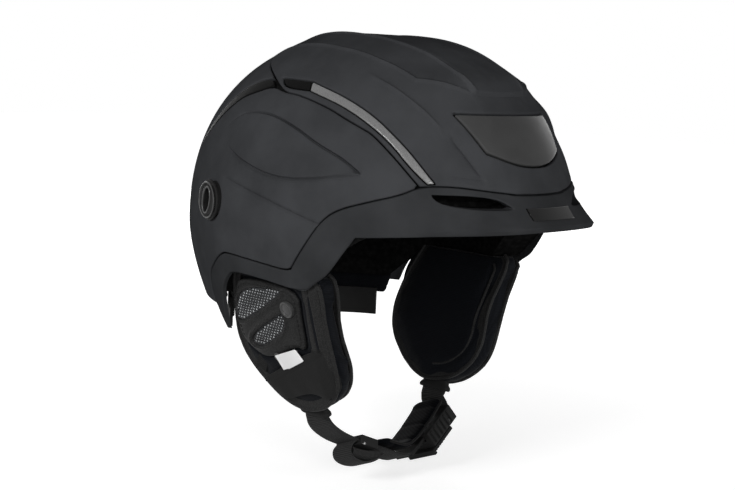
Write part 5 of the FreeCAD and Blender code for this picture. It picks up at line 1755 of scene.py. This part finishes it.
STRAP_HEIGHTS = (12.0, -40.0, -80.0, -98.6)
TAIL_LOOP = [(-33.0, -17.6), (-39.0, -20.0), (-40.2, -26.0), (-34.0, -30.6), (-26.0, -32.8),
             (-17.5, -32.2), (-12.0, -29.8)]
TAIL_FOLD = [(-37.0, -23.4), (-30.0, -26.4), (-22.0, -28.9), (-14.5, -29.6)]
TAIL_WIDTH = 17.0
TAIL_THICKNESS = 1.4
TAIL_FOLD_WIDTH = 16.0
TAIL_FOLD_THICKNESS = 5.6

# Where the straps end in the buckle and the lever's outer face, in the buckle's own frame
TAIL_ENDS = (-34.3, -25.5)
TAIL_LIFT = 4.15
STRAP_ENDS = (15.8, 12.1)
STRAP_LIFT = 2.1
LEVER_FACE = -8.0


def chin_world(points):
    """From the strap plane's frame, x across, y along the strap's width and z up, to the helmet's."""
    points = np.asarray(points, float)
    s, c = math.sin(CHIN_LEAN), math.cos(CHIN_LEAN)
    x, y, z = points[:, 0], points[:, 1], points[:, 2]
    return np.stack([x, CHIN_Y + y * c + z * s, CHIN_Z - y * s + z * c], 1)


def buckle_line(along_it, lift):
    s, c = math.sin(BUCKLE_TURN), math.cos(BUCKLE_TURN)
    return (BUCKLE_PLACE_SHARES[0] * CHIN_X + along_it * c - lift * s,
            BUCKLE_PLACE_SHARES[1] * CHIN_SAG + along_it * s + lift * c)


def buckle_world(points):
    x, z = buckle_line(points[:, 0], points[:, 2])
    return chin_world(np.stack([x, points[:, 1], z], 1))


def chin_path(shares):
    return [(x * CHIN_X, z * CHIN_SAG) for x, z in shares]


def rounded_path(path):
    return cut_corners([(x, 0.0, z) for x, z in path], STRAP_ROUNDS)


def with_width(places):
    """Each point of a line with the direction of the strap's width there."""
    return np.concatenate([places, np.tile(STRAP_ACROSS, (len(places), 1))], 1)


def band(places, wides, section):
    """Points and faces of a band: places are its middle line, wides its width's directions, and
    section the closed cross-section as (across, thick) pairs."""
    wides = wides / np.linalg.norm(wides, axis=1, keepdims=True)
    ways = np.gradient(places, axis=0)
    ways /= np.linalg.norm(ways, axis=1, keepdims=True)
    normals = np.cross(ways, wides)
    normals /= np.linalg.norm(normals, axis=1, keepdims=True)
    section = np.asarray(section, float)
    across, thick = section[None, :, :1], section[None, :, 1:]
    points = places[:, None] + across * wides[:, None] + thick * normals[:, None]
    return points.reshape(-1, 3), ring_faces(len(places), len(section))


SELVEDGE = 0.8
SELVEDGE_THINNING = 0.55
SECTION_PARTS = 10


def strap_section(width, thick):
    """Flat section that thins towards its selvedges."""
    shares = np.linspace(-1, 1, SECTION_PARTS + 1)
    edge = 1 - SELVEDGE_THINNING * np.clip((np.abs(shares) - SELVEDGE) / (1 - SELVEDGE), 0, 1) ** 2
    upper = [(s * width / 2, e * thick / 2) for s, e in zip(shares, edge)]
    lower = [(s * width / 2, -e * thick / 2) for s, e in zip(shares[::-1], edge[::-1])]
    return upper + lower


def strap_piece(name, line, node=None, width=STRAP_WIDTH, thick=STRAP_THICKNESS, body="helmet"):
    """Webbing along a line of points with its width's directions, with its length and width as UV."""
    line = along(line, STRAP_STEP)
    section = strap_section(width, thick)
    points, faces = band(line[:, :3], line[:, 3:], section)
    piece = loose_piece(name, points, faces, "webbing", body=body, replaces=(node,) if node else ())
    lay = piece.data.uv_layers.new(name="UVMap")
    lengths = lengths_along(line)
    spots = np.zeros(len(piece.data.loops) * 2)
    for loop in piece.data.loops:
        ring, side = divmod(loop.vertex_index, len(section))
        spots[loop.index * 2] = lengths[ring]
        spots[loop.index * 2 + 1] = section[side][0]
    lay.data.foreach_set("uv", spots)


def strap_line(side, path):
    """The run inside an ear pad, from the foam down to the exit, and then the given path."""
    upper = ear_world([(STRAP_DEPTH, CHIN_Y, z) for z in STRAP_HEIGHTS]) * [side, 1, 1]
    upper = np.concatenate([upper, np.tile([0, 1.0, 0], (len(upper), 1))], 1)
    lower = with_width(chin_world([(x, 0, z) for x, z in path]))
    return cut_corners(np.concatenate([upper, lower]), STRAP_ROUNDS)


CHIN_PAD_SIDES = 28
CHIN_PAD_HALF = (12.6, 2.5)
CHIN_PAD_POWERS = (0.45, 0.75)
CHIN_PAD_STEP = 1.5
CHIN_PAD_TAPER = 4.0
CHIN_PAD_EDGE = 12.4
CHIN_PIPING = 0.9
CHANNEL_PITCH = 17
CHANNEL_DEPTH = 0.16
CHANNEL_WIDTH = 1.3


def oval(sides, powers):
    """Points of a round that the powers make squarer, in two directions of unit length."""
    turn = turns(sides)
    return np.stack([np.sign(way) * np.abs(way) ** power
                     for way, power in zip((np.cos(turn), np.sin(turn)), powers)], 1)


def build_strap():
    ends = [buckle_line(place, TAIL_LIFT) for place in TAIL_ENDS]
    strap_piece("strap_right_web", strap_line(1, chin_path(STRAP_RIGHT_SHARES) + ends), "strap_right")
    ends = [buckle_line(place, STRAP_LIFT) for place in STRAP_ENDS]
    strap_piece("strap_left_web", strap_line(-1, chin_path(STRAP_LEFT_SHARES) + ends), "strap_left")
    strap_piece("strap_tail", with_width(chin_world(rounded_path(TAIL_LOOP))),
                width=TAIL_WIDTH, thick=TAIL_THICKNESS, body="keeper")
    strap_piece("strap_tail_fold", with_width(chin_world(rounded_path(TAIL_FOLD))),
                width=TAIL_FOLD_WIDTH, thick=TAIL_FOLD_THICKNESS, body="keeper")


def build_chin_pad():
    """A flat cushion with piping along both edges."""
    line = along(rounded_path(chin_path(CHIN_PAD_SHARES)), CHIN_PAD_STEP)
    section = oval(CHIN_PAD_SIDES, CHIN_PAD_POWERS) * CHIN_PAD_HALF
    wides = np.tile(STRAP_ACROSS, (len(line), 1))
    points, faces = band(chin_world(line), wides, section)
    shape = points.reshape(len(line), len(section), 3)
    middle = shape.mean(1, keepdims=True)
    count = np.arange(len(line))
    ends = np.minimum(count, count[::-1]) * CHIN_PAD_STEP
    taper = np.sqrt(np.clip(1 - (1 - np.clip(ends / CHIN_PAD_TAPER, 0.02, 1)) ** 2, 0, 1))
    channel = 1 - CHANNEL_DEPTH * bell(ends % CHANNEL_PITCH, CHANNEL_PITCH / 2, CHANNEL_WIDTH)
    shape = middle + (shape - middle) * np.minimum(taper, channel)[:, None, None]
    soft_piece("chin_pad_soft", shape.reshape(-1, 3), faces, "lining", ("chin_pad",), 0.5, slot="pad_fabric")
    trims = [tube(chin_world(line[2:-2] + [0, edge * CHIN_PAD_EDGE, 0]), CHIN_PIPING) for edge in (-1, 1)]
    points, faces = joined(trims)
    loose_piece("chin_pad_piping", points, faces, "webbing")


BAR_END = 0.7


def rounded_bar(low, high, radius):
    """A bar with eased long edges, from its lowest and highest corners."""
    x0, y0, z0 = low
    x1, y1, z1 = high
    section = []
    for cx, cz, start in ((x1 - radius, z1 - radius, 0), (x0 + radius, z1 - radius, 90),
                          (x0 + radius, z0 + radius, 180), (x1 - radius, z0 + radius, 270)):
        for turn in (0, 30, 60, 90):
            a = math.radians(start + turn)
            section.append((cx + radius * math.cos(a), cz + radius * math.sin(a)))
    mid_x, mid_z = (x0 + x1) / 2, (z0 + z1) / 2
    points = []
    for y, grow in ((y0, BAR_END), (y0 + radius, 1.0), (y1 - radius, 1.0), (y1, BAR_END)):
        points += [(mid_x + (x - mid_x) * grow, y, mid_z + (z - mid_z) * grow) for x, z in section]
    return np.array(points), ring_faces(4, len(section))


GUIDE_TOP = -87.8
GUIDE_BOTTOM = -94.4
GUIDE_HALF_WIDTH = 12.8
GUIDE_HALF_DEPTH = 3.5
GUIDE_SIDES = 36
GUIDE_POWERS = (0.7, 0.45)
GUIDE_ROWS = [(0.0, 0.80), (0.35, 0.84), (0.60, 0.97), (0.75, 1.0), (0.90, 0.99), (1.0, 0.93)]
GUIDE_MOUTH = (0.45, 0.90)
GUIDE_MOUTH_DEPTH = 3.0


def build_guides():
    """Moulded exits of the strap: oval collars that widen to a rounded lip."""
    around = oval(GUIDE_SIDES, GUIDE_POWERS)
    rings = []
    for share, grow in GUIDE_ROWS:
        height = GUIDE_TOP + (GUIDE_BOTTOM - GUIDE_TOP) * share
        rings.append(np.stack([STRAP_DEPTH + GUIDE_HALF_DEPTH * grow * around[:, 0],
                               CHIN_Y + GUIDE_HALF_WIDTH * grow * around[:, 1],
                               np.full(GUIDE_SIDES, height)], 1))
    centre = np.array([STRAP_DEPTH, CHIN_Y, 0])
    inside = centre + (rings[-1] - centre) * [*GUIDE_MOUTH, 1]
    rings += [inside, inside + [0, 0, GUIDE_MOUTH_DEPTH]]
    faces = ring_faces(len(rings), GUIDE_SIDES)
    both("guide_collar", ear_world(np.concatenate(rings)), faces, "trim_black", ("strap_guide",))


PORT_SLOT_LEAN = math.radians(18)
PORT_SLOT_HALF = (5.2, 8.4)
PORT_RIM = 0.98 * PORT_BARREL
PORT_RIM_SIDES = 48


def build_port_rims():
    """A thin rim on each port ring and one round its slanted slot."""
    centre, axis = port_axis()
    points = weld_node("port_ring_right")[0] - centre
    height = (points @ axis).max()
    across = np.cross(axis, [0, 0, 1.0])
    across /= np.linalg.norm(across)
    upward = np.cross(across, axis)
    turn = turns(PORT_RIM_SIDES)

    def rim(half, lean, raised, radius):
        u, v = half[0] * np.cos(turn), half[1] * np.sin(turn)
        s, c = math.sin(lean), math.cos(lean)
        line = np.outer(u * c - v * s, across) + np.outer(u * s + v * c, upward)
        return tube(centre + axis * (height + raised) + line, radius, closed=True)

    points, faces = joined([rim((PORT_RIM, PORT_RIM), 0.0, -0.1, 0.5),
                            rim(PORT_SLOT_HALF, PORT_SLOT_LEAN, 0.05, 0.55)])
    both("port_rim", points, faces, "snap_grey", slot="trim_black")


GRIP_PLACES = (-15.5, -12.9, -10.3, -7.7, -5.1)
GRIP_WIDTH = 1.3
GRIP_HALF_LENGTH = 11.4
GRIP_ROUNDING = 0.5
RIB_PLACES = (-13.0, -8.6, -4.2, 0.2, 4.6, 9.0)
RIB_WIDTH = 2.4
RIB_EDGE = 12.9
RIB_HALF_DEPTH = 0.8
RIB_HALF_HEIGHT = 4.4
RIB_ROUNDING = 0.6
RIVET_PROFILE = [(0.8, 1.0), (-0.3, 1.0), (-0.6, 0.8), (-0.7, 0.4)]
RIVET_SIDES = 18
RIVET_PLACE = [-30.3, -11.9, -20.6]


def build_buckle():
    grips = [rounded_bar((x, -GRIP_HALF_LENGTH, LEVER_FACE - 0.8),
                         (x + GRIP_WIDTH, GRIP_HALF_LENGTH, LEVER_FACE + 0.5), GRIP_ROUNDING)
             for x in GRIP_PLACES]
    points, faces = joined(grips)
    loose_piece("lever_grips", buckle_world(points), faces, "trim_black", body="lever")
    ribs = [rounded_bar((x, edge - RIB_HALF_DEPTH, -RIB_HALF_HEIGHT),
                        (x + RIB_WIDTH, edge + RIB_HALF_DEPTH, RIB_HALF_HEIGHT), RIB_ROUNDING)
            for x in RIB_PLACES for edge in (-RIB_EDGE, RIB_EDGE)]
    points, faces = joined(ribs)
    loose_piece("buckle_ribs", buckle_world(points), faces, "trim_black")
    points, faces = turned(RIVET_PROFILE, RIVET_SIDES)
    loose_piece("keeper_rivet", chin_world(points[:, [1, 0, 2]] + RIVET_PLACE), faces, "steel", body="keeper")


build_foam()
build_ear_pads()
build_pads()
build_strap()
build_chin_pad()
build_guides()
build_port_rims()
build_buckle()


# Every other solid keeps its own form, with eased edges
PLAIN = [
    "brow_badge", "port_ring_right", "port_ring_left", "strap_anchor_right", "strap_anchor_left",
    "strap_keeper", "buckle_housing", "lever_pin", "ratchet_tongue", "release_lever",
    "fit_band_right", "fit_band_left", "dial_pinion", "dial_housing", "dial_cover", "fit_dial",
    "dial_hanger", "clip_base", "clip_pin", "clip_arm"]
PLAIN_MATERIALS = {
    "brow_badge": "gloss_black", "lever_pin": "steel", "clip_pin": "steel", "dial_hanger": "webbing"}
for node in PLAIN:
    refine(node, PLAIN_MATERIALS.get(node, "trim_black"))


# Floor, world and lamps

FLOOR_SIZE = 8.0
FLOOR_COLOUR = (0.6, 0.6, 0.6, 1)
FLOOR_ROUGHNESS = 0.9
FLOOR_GLOW = 1.0
SHADE_GLOW = 0.62
SHADE_RADIUS = 0.9
SKY_LEVEL = 0.02
WHITE = (1, 1, 1, 1)
LAMPS = [
    ("key", (-0.90, -1.35, 0.36), 0.8, 13), ("side", (-1.5, -0.05, 0.62), 0.5, 15),
    ("fill", (0.6, -1.7, 0.35), 0.9, 7), ("back", (1.0, 1.5, 0.20), 1.0, 10),
    ("left", (1.6, 0.2, 0.20), 0.8, 5)]


def seen_directly(tree):
    """1 for the camera's, mirror and glass rays, 0 for the soft light on the object."""
    path = tree.nodes.new("ShaderNodeLightPath")
    shiny = math_node(tree, "MAXIMUM", path.outputs["Is Glossy Ray"], path.outputs["Is Transmission Ray"])
    return math_node(tree, "MAXIMUM", path.outputs["Is Camera Ray"], shiny)


def make_floor():
    bpy.ops.mesh.primitive_plane_add(size=FLOOR_SIZE, location=(0, 0, FLOOR_Z))
    floor = bpy.context.object
    floor.name = "floor"
    material, tree, shader = new_material("floor")
    shader.inputs["Base Color"].default_value = FLOOR_COLOUR
    shader.inputs["Roughness"].default_value = FLOOR_ROUGHNESS
    near = tree.nodes.new("ShaderNodeTexGradient")
    near.gradient_type = "SPHERICAL"
    place = tree.nodes.new("ShaderNodeMapping")
    place.inputs["Scale"].default_value = (1 / SHADE_RADIUS, 1 / SHADE_RADIUS, 0)
    tree.links.new(place_coordinates(tree), place.inputs["Vector"])
    tree.links.new(place.outputs["Vector"], near.inputs["Vector"])
    glow = span(tree, near.outputs["Fac"], FLOOR_GLOW, SHADE_GLOW)
    tree.links.new(math_node(tree, "MULTIPLY", seen_directly(tree), glow), shader.inputs["Emission Strength"])
    shader.inputs["Emission Color"].default_value = WHITE
    floor.data.materials.append(material)


def make_world():
    world = bpy.data.worlds.new("studio")
    scene.world = world
    world.use_nodes = True
    tree = world.node_tree
    sky = tree.nodes["Background"]
    tree.links.new(span(tree, seen_directly(tree), SKY_LEVEL, 1.0), sky.inputs["Strength"])
    sky.inputs["Color"].default_value = WHITE


def add_lamp(name, place, size, power):
    data = bpy.data.lights.new(name, "AREA")
    data.shape = "DISK"
    data.size = size
    data.energy = power
    lamp = bpy.data.objects.new(name, data)
    lamp.location = place
    lamp.rotation_mode = "QUATERNION"
    lamp.rotation_quaternion = (-Vector(place)).to_track_quat("-Z", "Y")
    scene.collection.objects.link(lamp)


make_floor()
make_world()
for lamp in LAMPS:
    add_lamp(*lamp)
